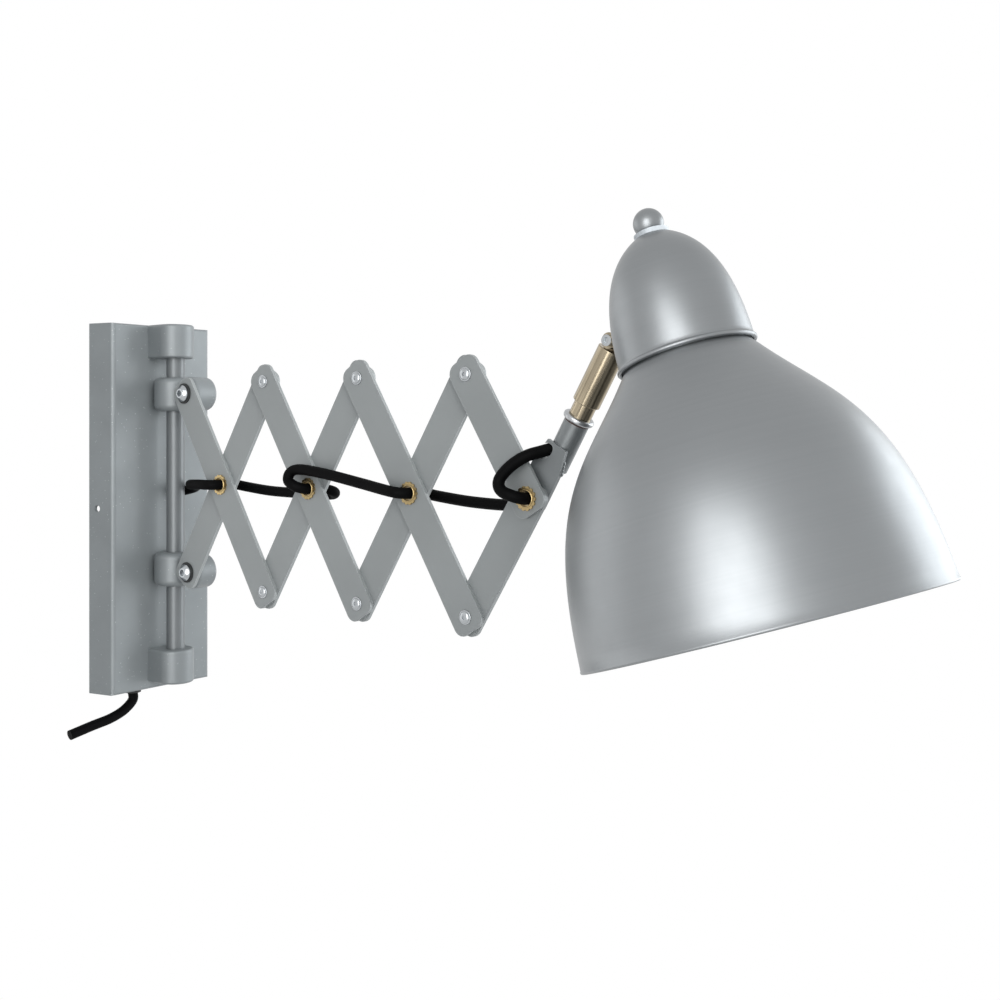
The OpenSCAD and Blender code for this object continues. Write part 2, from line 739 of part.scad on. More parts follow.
// Flat bar along X from its first pivot, with one hole radius for each pivot.
module bar(pivots, radii) {
    last = pivots[len(pivots) - 1];
    r = bar_corner_r;
    rotate([90, 0, 0])
        translate([0, 0, -bar_t])
            linear_extrude(bar_t)
                difference() {
                    rounded_outline([[-bar_over, -bar_w / 2], [last + bar_over, -bar_w / 2],
                        [last + bar_over, bar_w / 2], [-bar_over, bar_w / 2]], [r, r, r, r]);
                    for (i = [0:len(pivots) - 1])
                        translate([pivots[i], 0])
                            circle(r = radii[i]);
                }
}
module front_bar(x, z, pivots, radii) {
    color([0.57, 0.59, 0.6]) translate([x, front_y, z]) rotate([0, fold_angle, 0]) bar(pivots, radii);
}
module back_bar(x, z, pivots, radii) {
    color([0.57, 0.59, 0.6]) translate([x, back_y, z]) rotate([0, -fold_angle, 0]) bar(pivots, radii);
}
screw_hole_r = screw_d / 2 + run_gap;
rivet_hole_r = rivet_d / 2 + seat_gap;
rivet_run_r = rivet_d / 2 + run_gap;
eye_hole_r = eyelet_d / 2 + seat_gap;
eye_run_r = eyelet_d / 2 + run_gap;
high_z = mid_z + rise;
foot_z = mid_z - rise;
between_x = [for (i = [0:2]) first_x + (2 * i + 1) * stage];
module front_bar_1() {
    front_bar(hub_x, top_pivot_z, first_bar, [screw_hole_r, eye_hole_r, rivet_hole_r]);
}
module front_bar_2() {
    front_bar(between_x[0], high_z, full_bar, [rivet_hole_r, eye_hole_r, rivet_hole_r]);
}
module front_bar_3() {
    front_bar(between_x[1], high_z, full_bar, [rivet_hole_r, eye_hole_r, rivet_hole_r]);
}
module front_bar_4() { front_bar(between_x[2], high_z, end_bar, [rivet_hole_r, eye_run_r]); }
module back_bar_1() {
    back_bar(hub_x, low_pivot_z, first_bar, [screw_hole_r, eye_run_r, rivet_run_r]);
}
module back_bar_2() {
    back_bar(between_x[0], foot_z, full_bar, [rivet_run_r, eye_run_r, rivet_run_r]);
}
module back_bar_3() {
    back_bar(between_x[1], foot_z, full_bar, [rivet_run_r, eye_run_r, rivet_run_r]);
}
module back_bar_4() { back_bar(between_x[2], foot_z, end_bar, [rivet_run_r, eye_run_r]); }

// Dome rivet with a dimple in front and a low head behind.
module rivet(x, z) {
    back_head_y = back_face_y + face_gap;
    cap_r = (pow(rivet_head_d / 2, 2) + pow(rivet_head_h, 2)) / (2 * rivet_head_h);
    face = front_y - seat_gap;
    translate([x, 0, z]) {
        along_y(rivet_d / 2, face - seat_gap, back_head_y);
        along_y(rivet_head_d / 2, back_head_y, back_head_y + rivet_back_h);
        difference() {
            intersection() {
                translate([0, face - rivet_head_h + cap_r, 0])
                    sphere(r = cap_r);
                along_y(rivet_head_d, face - 2 * rivet_head_h, face);
            }
            translate([0, face - rivet_head_h - dimple_d / 4, 0])
                sphere(d = dimple_d);
        }
    }
}
module rivets_1() { color([0.8, 0.82, 0.83]) rivet(between_x[0], foot_z); }
module rivets_2() {
    color([0.8, 0.82, 0.83]) {
        rivet(between_x[0], high_z);
        rivet(between_x[1], foot_z);
    }
}
module rivets_3() {
    color([0.8, 0.82, 0.83]) {
        rivet(between_x[1], high_z);
        rivet(between_x[2], foot_z);
    }
}
module rivets_4() { color([0.8, 0.82, 0.83]) rivet(between_x[2], high_z); }

// Hollow brass eyelet: notched flange in front, rolled lip, plain flange behind.
module eyelet(i, rear_y) {
    face = front_y - face_gap;
    petal_at = (eyelet_flange_d - petal_d) / 2;
    color([0.78, 0.62, 0.3]) translate([eye_x[i], 0, mid_z]) difference() {
        union() {
            along_y(eyelet_d / 2, face - seat_gap, rear_y + face_gap);
            translate([0, face, 0])
                rotate([90, 0, 0])
                    linear_extrude(eyelet_flange_t) {
                        circle(r = petal_at);
                        for (k = [0:petal_count - 1])
                            rotate(360 * k / petal_count)
                                translate([petal_at, 0])
                                    circle(d = petal_d);
                    }
            translate([0, face - eyelet_flange_t, 0])
                rotate([90, 0, 0])
                    rotate_extrude()
                        translate([eyelet_d / 2 - lip_r, 0])
                            circle(r = lip_r);
            along_y(eyelet_flange_d / 2, rear_y + face_gap, rear_y + face_gap + eyelet_flange_t);
        }
        along_y(eyelet_hole_d / 2, face - 4 * eyelet_flange_t, rear_y + 4 * eyelet_flange_t);
    }
}
module eyelet_1() { eyelet(0, back_face_y); }
module eyelet_2() { eyelet(1, back_face_y); }
module eyelet_3() { eyelet(2, back_face_y); }
module eyelet_4() { eyelet(3, tab_back_y); }

module arm_cord_rod() { color([0.05, 0.05, 0.05]) cord(route_0, arm_cord_d); }
module arm_cord_first() { color([0.05, 0.05, 0.05]) cord(route_00, arm_cord_d); }
module arm_cord_1() { color([0.05, 0.05, 0.05]) cord(route_1, arm_cord_d); }
module arm_cord_2() { color([0.05, 0.05, 0.05]) cord(route_2, arm_cord_d); }
module arm_cord_3() { color([0.05, 0.05, 0.05]) cord(route_3, arm_cord_d); }
module arm_cord_4() { color([0.05, 0.05, 0.05]) cord(route_4, arm_cord_d); }

// Flat tab that narrows into a tube, with a weld bead on its side.
tab_end = bracket_start + (bracket_end - bracket_start) / 2;
module head_bracket() {
    color([0.5, 0.52, 0.53]) difference() {
        head_frame() difference() {
            union() {
                translate([0, tab_back_y, 0])
                    rotate([90, 0, 0])
                        linear_extrude(bar_t) {
                            circle(d = tab_w);
                            polygon([[-tab_w / 2, 0], [tab_w / 2, 0], [tab_w / 2, bracket_start],
                                [tab_top_w / 2, tab_end], [-tab_top_w / 2, tab_end],
                                [-tab_w / 2, bracket_start]]);
                        }
                translate([0, 0, bracket_start])
                    cylinder(d = bracket_d, h = bracket_end - bracket_start);
                for (k = [0:weld_count - 1])
                    translate([tab_w / 2 - weld_r + lip_r - k * lip_r * weld_lean_share,
                        tab_back_y, weld_at + k * weld_step])
                        sphere(r = weld_r);
            }
            translate([0, 0, bracket_start - eps])
                cylinder(d = bore_d, h = bracket_end - bracket_start + 2 * eps);
            along_y(eye_run_r, tab_y - eps, tab_back_y + eps);
        }
        cord_hole();
    }
}
// Side hole in the tube along the cord's last stretch.
module cord_hole() {
    n = len(route_4) - 1;
    a = route_4[n - 5];
    b = route_4[n - 3];
    d = (b - a) * cord_hole_share;
    translate(a)
        rotate([0, acos(d[2] / norm(d)), atan2(d[1], d[0])])
            cylinder(d = cord_hole_d, h = norm(d));
}
module ring_washer() {
    color([0.25, 0.12, 0.08]) head_frame() translate([0, 0, bracket_end])
        ring(bracket_d + face_gap, stem_thread_d + face_gap, ring_washer_t);
}
module bracket_ring() {
    color([0.75, 0.76, 0.78]) head_frame() translate([0, 0, ring_at]) difference() {
        soft_cylinder(ring_d / 2, ring_h, ring_h * ring_edge_share);
        translate([0, 0, -eps])
            cylinder(d = stem_thread_d + face_gap, h = ring_h + 2 * eps);
    }
}
// Brass inner tube with a thread that enters the bracket tube.
module swivel_tube() {
    color([0.72, 0.6, 0.38]) head_frame() difference() {
        union() {
            translate([0, 0, stem_thread_at])
                cylinder(d = stem_thread_d, h = ring_h + ring_at - stem_thread_at + eps);
            translate([0, 0, ring_at + ring_h])
                cylinder(d = inner_d, h = stem_top_at - ring_at - ring_h);
        }
        translate([0, 0, stem_thread_at - eps])
            cylinder(d = inner_hole_d, h = stem_top_at - stem_thread_at + 2 * eps);
    }
}
head_cord_len = core_at - stem_thread_at - seat_gap;
module head_cord() {
    color([0.05, 0.05, 0.05]) head_frame()
        translate([0, 0, stem_thread_at])
            cylinder(d = arm_cord_d, h = head_cord_len);
}
module swivel_sleeve() {
    color([0.76, 0.64, 0.42]) head_frame() translate([0, 0, swivel_start]) difference() {
        soft_cylinder(swivel_d / 2, swivel_end - swivel_start, lip_r);
        translate([0, 0, -eps])
            cylinder(d = inner_d + 2 * run_gap, h = swivel_end - swivel_start + 2 * eps);
    }
}
// Plug in the sleeve's end with the first ear of the knuckle.
module sleeve_ear() {
    color([0.76, 0.64, 0.42]) head_frame() difference() {
        union() {
            translate([0, 0, plug_foot_at])
                cylinder(d = inner_d + 2 * run_gap - 2 * seat_gap, h = swivel_end - plug_foot_at);
            translate([0, 0, knuckle_at])
                along_y(ear_d / 2, -ear_y, ear_y);
            translate([-ear_d * ear_web_share / 2, -ear_y, plug_foot_at])
                cube([ear_d * ear_web_share, ear_t, knuckle_at - plug_foot_at]);
        }
        translate([0, 0, knuckle_at])
            along_y(knuckle_screw_d / 2 + run_gap, -ear_t, ear_t);
        translate([0, wire_y, plug_foot_at - eps])
            cylinder(d = wire_hole_d, h = swivel_end - plug_foot_at + 2 * eps);
    }
}
module at_knuckle() {
    translate([head_x + knuckle_at * cos(head_angle), 0, mid_z + knuckle_at * sin(head_angle)])
        children();
}
shade_ear_low = -ear_y - face_gap - ear_t;
// Screw through the shade's ear into the sleeve's ear.
module knuckle_screw() {
    head_y = shade_ear_low - face_gap;
    color([0.7, 0.7, 0.7]) at_knuckle() difference() {
        union() {
            along_y(knuckle_screw_d / 2, head_y, ear_y);
            along_y(knuckle_head_d / 2, head_y - knuckle_head_h, head_y);
        }
        translate([0, head_y - knuckle_head_h - eps, 0])
            rotate([-90, 0, 0])
                hex_prism(knuckle_head_d * head_corner_share, knuckle_head_h / 2 + eps);
    }
}

// Outlines of the shade, as radius and height above the rim.
bell_curve = [[rim_r, 0], [rim_r * (1 - bell_lean_share), bell_h * bell_low_share],
    [neck_r + (rim_r - neck_r) * bell_high_share, bell_h * (1 - bell_drop_share)], [neck_r, bell_h]];
top_r = finial_washer_d / 2;
dome_h = dome_top - dome_start;
dome_curve = [[dome_r, dome_start], [dome_r, dome_start + dome_h * dome_low_share],
    [top_r + (dome_r - top_r) * dome_high_share, dome_top - dome_h * dome_drop_share],
    [top_r, dome_top]];
dome_line = curve(dome_curve, dome_steps);
function dome_r_at(h) = lookup(h, [for (p = dome_line) [p[1], p[0]]]);
function back_round(p) = [for (i = [len(p) - 1:-1:0]) p[i]];
neck_low = bell_h + bell_step;
neck_high = neck_low + neck_in_h;
module shade_bell() {
    color([0.66, 0.68, 0.7]) shade_frame() {
        rotate_extrude($fn = 96)
            polygon(concat(curve(bell_curve, bell_steps),
                [[neck_in_r, neck_low], [neck_in_r, neck_high],
                    [neck_in_r - shade_t, neck_high], [neck_in_r - shade_t, neck_low]],
                back_round(curve(inner_of(bell_curve, shade_t), bell_steps))));
        rotate_extrude($fn = 96)
            translate([rim_r - shade_t / 2, 0])
                circle(r = rim_bead_r);
    }
}
wire_tilt = 14;
wire_side_y = 8;
wire_r = dome_r_at(wire_bush_at);
module at_wire_hole() {
    translate([-sqrt(wire_r * wire_r - wire_side_y * wire_side_y), wire_side_y, wire_bush_at])
        rotate([0, 0, -asin(wire_side_y / wire_r)])
            rotate([0, wire_tilt - 90, 0])
                children();
}
stud_hole_r = stud_d / 2 + seat_gap;
module shade_dome() {
    color([0.66, 0.68, 0.7]) shade_frame() difference() {
        union() {
            rotate_extrude($fn = 96)
                polygon(concat(dome_line,
                    [[stem_d / 2 + seat_gap, dome_top], [stem_d / 2 + seat_gap, dome_top - shade_t]],
                    back_round(curve(inner_of(dome_curve, shade_t), dome_steps))));
            rotate_extrude($fn = 96)
                translate([dome_r, dome_start + dome_bead_r])
                    circle(r = dome_bead_r);
        }
        translate([-shade_off, 0, knuckle_rise])
            rotate([0, 90, 0])
                cylinder(r = stud_hole_r, h = shade_off - holder_d / 2);
        at_wire_hole()
            translate([0, 0, -wire_bush_d])
                cylinder(d = wire_bush_d - 2 * wire_bush_t + 2 * seat_gap, h = 2 * wire_bush_d);
    }
}
// Rubber bushing where the head wire enters the dome.
module wire_bushing() {
    bush_hole_d = head_wire_d + 2 * wire_bush_gap;
    color([0.08, 0.08, 0.08]) shade_frame() at_wire_hole() difference() {
        union() {
            translate([0, 0, -wire_bush_t - shade_t])
                cylinder(d = wire_bush_d - 2 * wire_bush_t, h = 2 * wire_bush_t + shade_t);
            translate([0, 0, wire_bush_gap])
                cylinder(d = wire_bush_d, h = wire_bush_t);
        }
        translate([0, 0, -wire_bush_d])
            cylinder(d = bush_hole_d, h = 2 * wire_bush_d);
    }
}

// Ear with a stud that passes the dome wall.
wall_r = dome_r_at(knuckle_rise) - shade_t;
stud_len = shade_off - wall_r + stud_in;
module shade_ear() {
    color([0.76, 0.64, 0.42]) shade_frame() translate([-shade_off, 0, knuckle_rise]) difference() {
        union() {
            along_y(ear_d / 2, -ear_y, ear_y);
            rotate([0, 90, 0])
                cylinder(d = stud_d, h = stud_len);
        }
        along_y(knuckle_screw_d / 2 + run_gap, -ear_t, ear_t);
    }
}
// Washer and nut on the stud, and the nut on the stem below the dome.
stud_seat = stud_washer_d * stud_washer_d / (8 * wall_r) + stud_slack;
module shade_nuts() {
    color([0.72, 0.72, 0.7]) shade_frame() {
        translate([stud_seat - wall_r, 0, knuckle_rise])
            rotate([0, 90, 0]) {
                ring(stud_washer_d, stud_d + 2 * seat_gap, stud_washer_t);
                translate([0, 0, stud_washer_t])
                    difference() {
                        hex_prism(stud_nut_d, stud_nut_t);
                        translate([0, 0, -eps])
                            cylinder(d = stud_d + 2 * seat_gap, h = stud_nut_t + 2 * eps);
                    }
            }
        translate([0, 0, dome_top - stem_nut_drop])
            difference() {
                hex_prism(stem_nut_d, stem_nut_t);
                translate([0, 0, -eps])
                    cylinder(d = stem_d + 2 * seat_gap, h = stem_nut_t + 2 * eps);
            }
    }
}
module finial_washer() {
    color([0.86, 0.88, 0.9]) shade_frame() translate([0, 0, dome_top + seat_gap])
        ring(finial_washer_d, stem_d + 2 * seat_gap, finial_washer_h - 2 * seat_gap);
}
module finial() {
    color([0.62, 0.64, 0.66]) shade_frame() translate([0, 0, washer_top]) difference() {
        intersection() {
            translate([0, 0, finial_ball_at])
                sphere(d = finial_d);
            cylinder(d = 2 * finial_d, h = 2 * finial_d);
        }
        translate([0, 0, -eps])
            cylinder(d = stem_d + 2 * seat_gap, h = finial_bore_h + eps);
    }
}

// Lampholder, open towards the rim.
stem_low = holder_top - stem_foot_in;
module holder_stem() {
    color([0.7, 0.7, 0.7]) shade_frame() translate([0, 0, stem_low])
        ring(stem_d, stem_d - 2 * stem_wall, washer_top + finial_bore_h - face_gap - stem_low);
}
module holder_cap() {
    r = holder_d / 2;
    color([0.07, 0.07, 0.07]) shade_frame() difference() {
        union() {
            translate([0, 0, holder_mid])
                cylinder(r = r, h = cap_edge_r);
            translate([0, 0, holder_mid])
                soft_cylinder(r, holder_top - holder_mid, cap_edge_r);
            translate([0, 0, holder_top - cap_edge_r])
                cylinder(d = cap_neck_d, h = cap_edge_r + cap_neck_h);
        }
        translate([0, 0, holder_mid - eps])
            cylinder(r = r - holder_t, h = holder_top - holder_mid - cap_edge_r + eps);
        translate([0, 0, holder_mid])
            cylinder(d = stem_d + 2 * seat_gap, h = 2 * (holder_top - holder_mid));
    }
}
module holder_shell() {
    color([0.07, 0.07, 0.07]) shade_frame() {
        translate([0, 0, holder_low])
            ring(holder_d, holder_d - 2 * holder_t, holder_mid - holder_low - seat_gap);
        translate([0, 0, holder_low])
            ring(holder_d, screw_shell_d + 2 * thread_shell_t + 2 * face_gap, holder_t);
    }
}
// Insulator with the centre contact and the side contact.
core_low = holder_mid - insulator_t;
module holder_core() {
    color([0.9, 0.9, 0.86]) shade_frame() {
        translate([0, 0, core_low])
            cylinder(d = holder_d - 2 * holder_t - 2 * seat_gap, h = insulator_t - seat_gap);
        translate([0, 0, core_low - centre_h])
            cylinder(d = centre_d, h = centre_h + eps);
        translate([0, -side_contact_w / 2, core_low - side_contact_h])
            cube([screw_shell_d / 2 - thread_shell_t, side_contact_w, side_contact_h + eps]);
    }
}
module screw_shell() {
    color([0.8, 0.66, 0.36]) shade_frame() translate([0, 0, core_low - seat_gap - shell_len])
        ring(screw_shell_d + 2 * thread_shell_t, screw_shell_d, shell_len);
}
module head_wire() { color([0.05, 0.05, 0.05]) cord(route_wire, head_wire_d); }

wall_plate();
lugs();
wall_bracket();
lock_screw();
terminal_block();
lead_clamp();
plate_bushings();
inside_cords();
mains_lead();
rod();
top_collar();
collar_grub_screw();
top_pivot_screw();
top_pivot_washer();
bottom_collar();
bottom_pivot_screw();
bottom_pivot_washer();
front_bar_1();
front_bar_2();
front_bar_3();
front_bar_4();
back_bar_1();
back_bar_2();
back_bar_3();
back_bar_4();
rivets_1();
rivets_2();
rivets_3();
rivets_4();
eyelet_1();
eyelet_2();
eyelet_3();
eyelet_4();
arm_cord_rod();
arm_cord_first();
arm_cord_1();
arm_cord_2();
arm_cord_3();
arm_cord_4();
head_bracket();
ring_washer();
bracket_ring();
swivel_tube();
head_cord();
swivel_sleeve();
sleeve_ear();
knuckle_screw();
shade_ear();
shade_nuts();
shade_bell();
shade_dome();
finial_washer();
finial();
wire_bushing();
holder_stem();
holder_cap();
holder_shell();
holder_core();
screw_shell();
head_wire();
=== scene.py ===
# %% [markdown]
# # Accordion wall lamp
#
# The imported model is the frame: it holds every metal part at its real place and size.
# This script dresses it. It gives every part a finish made of shader nodes, makes the
# shade as a smooth spun skin, and lays the cords along their routes.
# All lengths are in metres. X points out of the wall, Y runs along it, Z is up.

# %%
# Load the frame and note its size

import json
import math

import bpy
from mathutils import Matrix, Vector


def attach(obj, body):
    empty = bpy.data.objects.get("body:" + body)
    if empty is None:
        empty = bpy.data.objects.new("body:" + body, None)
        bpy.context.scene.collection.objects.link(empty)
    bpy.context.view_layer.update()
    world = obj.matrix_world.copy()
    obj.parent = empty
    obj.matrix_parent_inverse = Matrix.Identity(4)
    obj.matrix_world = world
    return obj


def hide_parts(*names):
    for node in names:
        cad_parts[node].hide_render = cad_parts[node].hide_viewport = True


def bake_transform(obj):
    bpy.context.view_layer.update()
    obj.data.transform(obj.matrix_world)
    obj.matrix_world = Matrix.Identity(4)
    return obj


MM = 0.001
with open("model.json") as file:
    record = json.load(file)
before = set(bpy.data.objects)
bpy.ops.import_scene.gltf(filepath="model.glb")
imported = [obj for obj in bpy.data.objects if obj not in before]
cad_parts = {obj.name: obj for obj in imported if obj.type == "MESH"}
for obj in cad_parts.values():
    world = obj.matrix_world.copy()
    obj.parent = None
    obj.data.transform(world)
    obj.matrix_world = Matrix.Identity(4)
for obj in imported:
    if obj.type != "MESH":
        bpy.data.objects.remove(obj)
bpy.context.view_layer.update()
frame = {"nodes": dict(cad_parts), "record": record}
nodes = frame["nodes"]

# %% [markdown]
# ## Places that the other cells share
#
# The head tube starts at the last eyelet and leans at its own angle. The shade hangs
# from the knuckle at the tube's end. Both places follow from the fold of the arm,
# as they do in the CAD source.

# %%
# Arm, knuckle and shade frame

FOLD = math.radians(58)
FIRST_HALF, HALF_BAR = 67.5 * MM, 74.5 * MM
HUB_X, TOP_PIVOT_Z = 59 * MM, 74.2 * MM
HEAD_ANGLE, KNUCKLE_AT = math.radians(59.5), 89.5 * MM
SHADE_LEAN, SHADE_Y = math.radians(18), -4.7 * MM
SHADE_OFF, KNUCKLE_RISE = 36.5 * MM, 147.5 * MM

last_eye = Vector((
    HUB_X + (FIRST_HALF + 6 * HALF_BAR) * math.cos(FOLD),
    0,
    TOP_PIVOT_Z - FIRST_HALF * math.sin(FOLD),
))
tube_way = Vector((math.cos(HEAD_ANGLE), 0, math.sin(HEAD_ANGLE)))
knuckle = last_eye + tube_way * KNUCKLE_AT
shade_frame = (
    Matrix.Translation((knuckle.x, SHADE_Y, knuckle.z))
    @ Matrix.Rotation(-SHADE_LEAN, 4, "Y")
    @ Matrix.Translation((SHADE_OFF, 0, -KNUCKLE_RISE))
)
print("last eyelet", last_eye, "knuckle", knuckle)

# %% [markdown]
# ## Shader groups
#
# Effects that several materials may share are node groups with named sockets.
# "Soft variation" drifts a colour and a roughness, and "Fine grain" makes the bump of
# paint or rubber. The others each add one look to a colour: painted glints of flakes, rings,
# lighter edges that are bare steel with a painted highlight, and bands of painted reflection.

# %%
# Group builder

NOISE_LOW, NOISE_HIGH = 0.3, 0.7
RUB_SCALE = 140.0
BUMP_DISTANCE, EDGE_WIDTH = 0.5 * MM, 0.5 * MM
EDGE_FLAT, EDGE_TURNED, EDGE_SAMPLES = 0.995, 0.85, 6
RING_STRETCH, STREAK_STRETCH = (6, 6, 900), (420, 420, 9)
FLAKE_RARITY = 0.9965
SOCKET = {"value": "NodeSocketFloat", "colour": "NodeSocketColor", "vector": "NodeSocketVector"}


def new_group(name, inputs, outputs):
    """A shader node group; inputs are (name, kind, default) and outputs (name, kind)."""
    tree = bpy.data.node_groups.new(name, "ShaderNodeTree")
    for label, kind, default in inputs:
        socket = tree.interface.new_socket(label, in_out="INPUT", socket_type=SOCKET[kind])
        socket.default_value = default
    for label, kind in outputs:
        tree.interface.new_socket(label, in_out="OUTPUT", socket_type=SOCKET[kind])
    start, end = tree.nodes.new("NodeGroupInput"), tree.nodes.new("NodeGroupOutput")
    return tree, start, end


def add(tree, kind, links=(), **settings):
    """Add a node, set its properties, then join or set each named input."""
    node = tree.nodes.new(kind)
    for name, value in settings.items():
        setattr(node, name, value)
    for socket, value in dict(links).items():
        if isinstance(value, bpy.types.NodeSocket):
            tree.links.new(value, node.inputs[socket])
        else:
            node.inputs[socket].default_value = value
    return node


# %%
# Soft variation

drift, start, end = new_group(
    "Soft variation",
    [("Colour", "colour", (0.5, 0.5, 0.5, 1)), ("Amount", "value", 0.1),
     ("Scale", "value", 30.0), ("Roughness", "value", 0.4), ("Rough amount", "value", 0.08)],
    [("Colour", "colour"), ("Roughness", "value")],
)
place = add(drift, "ShaderNodeTexCoord")
cloud = add(drift, "ShaderNodeTexNoise", {
    "Vector": place.outputs["Object"], "Scale": start.outputs["Scale"], "Detail": 5.0})
dark = add(drift, "ShaderNodeMath", {0: 1.0, 1: start.outputs["Amount"]}, operation="SUBTRACT")
light = add(drift, "ShaderNodeMath", {0: 1.0, 1: start.outputs["Amount"]}, operation="ADD")
shade_of = add(drift, "ShaderNodeMapRange", {
    "Value": cloud.outputs["Fac"], "From Min": NOISE_LOW, "From Max": NOISE_HIGH,
    "To Min": dark.outputs[0], "To Max": light.outputs[0]})
tint = add(drift, "ShaderNodeVectorMath", {
    0: start.outputs["Colour"], 1: shade_of.outputs["Result"]}, operation="MULTIPLY")
rub = add(drift, "ShaderNodeTexNoise", {
    "Vector": place.outputs["Object"], "Scale": RUB_SCALE, "Detail": 3.0})
rub_range = add(drift, "ShaderNodeMath", {
    0: rub.outputs["Fac"], 1: start.outputs["Rough amount"],
    2: start.outputs["Roughness"]}, operation="MULTIPLY_ADD")
drift.links.new(tint.outputs[0], end.inputs["Colour"])
drift.links.new(rub_range.outputs[0], end.inputs["Roughness"])

# %%
# Fine grain

grain, start, end = new_group(
    "Fine grain",
    [("Scale", "value", 1200.0), ("Height", "value", 0.02)],
    [("Normal", "vector")],
)
place = add(grain, "ShaderNodeTexCoord")
speck = add(grain, "ShaderNodeTexNoise", {
    "Vector": place.outputs["Object"], "Scale": start.outputs["Scale"], "Detail": 2.0})
relief = add(grain, "ShaderNodeBump", {
    "Height": speck.outputs["Fac"], "Strength": start.outputs["Height"], "Distance": BUMP_DISTANCE})
grain.links.new(relief.outputs["Normal"], end.inputs["Normal"])

# %%
# Paint flakes: a few bright dots, which are painted glints of the paint's flakes

flake_glints, start, end = new_group(
    "Paint flakes",
    [("Colour", "colour", (0.5, 0.5, 0.5, 1)), ("Gain", "value", 0.5), ("Scale", "value", 2000.0)],
    [("Colour", "colour")],
)
place = add(flake_glints, "ShaderNodeTexCoord")
cells = add(flake_glints, "ShaderNodeTexVoronoi", {
    "Vector": place.outputs["Object"], "Scale": start.outputs["Scale"]})
pick = add(flake_glints, "ShaderNodeSeparateColor", {"Color": cells.outputs["Color"]})
# Painted glints: the rare cells lift the colour as if their flake caught a lamp
rare = add(flake_glints, "ShaderNodeMath", {0: pick.outputs["Red"], 1: FLAKE_RARITY}, operation="GREATER_THAN")
gain = add(flake_glints, "ShaderNodeMath", {
    0: rare.outputs[0], 1: start.outputs["Gain"], 2: 1.0}, operation="MULTIPLY_ADD")
lit = add(flake_glints, "ShaderNodeVectorMath", {
    0: start.outputs["Colour"], 1: gain.outputs[0]}, operation="MULTIPLY")
flake_glints.links.new(lit.outputs[0], end.inputs["Colour"])

# %%
# Spin marks: faint rings round the shade's axis

rings, start, end = new_group(
    "Spin marks",
    [("Colour", "colour", (0.5, 0.5, 0.5, 1)), ("Amount", "value", 0.04)],
    [("Colour", "colour")],
)
place = add(rings, "ShaderNodeTexCoord")
upright = add(rings, "ShaderNodeVectorRotate", {
    "Vector": place.outputs["Object"], "Axis": (0, 1, 0), "Angle": SHADE_LEAN},
    rotation_type="AXIS_ANGLE")
stretch = add(rings, "ShaderNodeVectorMath", {
    0: upright.outputs[0], 1: RING_STRETCH}, operation="MULTIPLY")
lines = add(rings, "ShaderNodeTexNoise", {
    "Vector": stretch.outputs[0], "Scale": 1.0, "Detail": 3.0})
ring_shade = add(rings, "ShaderNodeMath", {
    0: lines.outputs["Fac"], 1: start.outputs["Amount"], 2: 1.0}, operation="MULTIPLY_ADD")
ringed = add(rings, "ShaderNodeVectorMath", {
    0: start.outputs["Colour"], 1: ring_shade.outputs[0]}, operation="MULTIPLY")
rings.links.new(ringed.outputs[0], end.inputs["Colour"])

# %%
# Bare edge and painted highlight: a lighter line where two faces meet, partly the bare steel of punched
# and painted strip, partly a painted highlight

edges, start, end = new_group(
    "Bare edge and painted highlight",
    [("Colour", "colour", (0.5, 0.5, 0.5, 1)), ("Edge colour", "colour", (0.6, 0.62, 0.63, 1)),
     ("Width", "value", EDGE_WIDTH), ("Amount", "value", 0.6)],
    [("Colour", "colour")],
)
face = add(edges, "ShaderNodeNewGeometry")
rounded = add(edges, "ShaderNodeBevel", {"Radius": start.outputs["Width"]}, samples=EDGE_SAMPLES)
same = add(edges, "ShaderNodeVectorMath", {
    0: rounded.outputs[0], 1: face.outputs["Normal"]}, operation="DOT_PRODUCT")
turn = add(edges, "ShaderNodeMapRange", {
    "Value": same.outputs["Value"], "From Min": EDGE_FLAT, "From Max": EDGE_TURNED,
    "To Min": 0.0, "To Max": start.outputs["Amount"]})
# Painted highlight: the edge colour lightens the line where faces turn, together with the bare steel
# there
bare_and_lit_edge = add(edges, "ShaderNodeMix", {
    "Factor": turn.outputs["Result"], 6: start.outputs["Colour"],
    7: start.outputs["Edge colour"]}, data_type="RGBA")
edges.links.new(bare_and_lit_edge.outputs[2], end.inputs["Colour"])

# %%
# Painted reflection streaks: light and dark bands of painted reflection, along the head tube's axis

streaks, start, end = new_group(
    "Painted reflection streaks",
    [("Colour", "colour", (0.5, 0.4, 0.3, 1)), ("Low", "value", 0.4), ("High", "value", 1.5)],
    [("Colour", "colour")],
)
place = add(streaks, "ShaderNodeTexCoord")
along = add(streaks, "ShaderNodeVectorRotate", {
    "Vector": place.outputs["Object"], "Axis": (0, 1, 0), "Angle": HEAD_ANGLE - math.pi / 2},
    rotation_type="AXIS_ANGLE")
painted_streaks = add(streaks, "ShaderNodeVectorMath", {
    0: along.outputs[0], 1: STREAK_STRETCH}, operation="MULTIPLY")
band = add(streaks, "ShaderNodeTexNoise", {
    "Vector": painted_streaks.outputs[0], "Scale": 1.0, "Detail": 4.0})
# Painted reflection: the bands darken and lighten the brass as reflections would
depth = add(streaks, "ShaderNodeMapRange", {
    "Value": band.outputs["Fac"], "From Min": NOISE_LOW, "From Max": NOISE_HIGH,
    "To Min": start.outputs["Low"], "To Max": start.outputs["High"]})
tinted = add(streaks, "ShaderNodeVectorMath", {
    0: start.outputs["Colour"], 1: depth.outputs["Result"]}, operation="MULTIPLY")
streaks.links.new(tinted.outputs[0], end.inputs["Colour"])
print("shader groups:", [g.name for g in bpy.data.node_groups])

# %% [markdown]
# ## Finishes
#
# One material is made for each material slot of the record. A finish is a short list of
# settings: its colour, how metallic and how rough it is, and how much of each effect it takes.

# %%
# Material builder


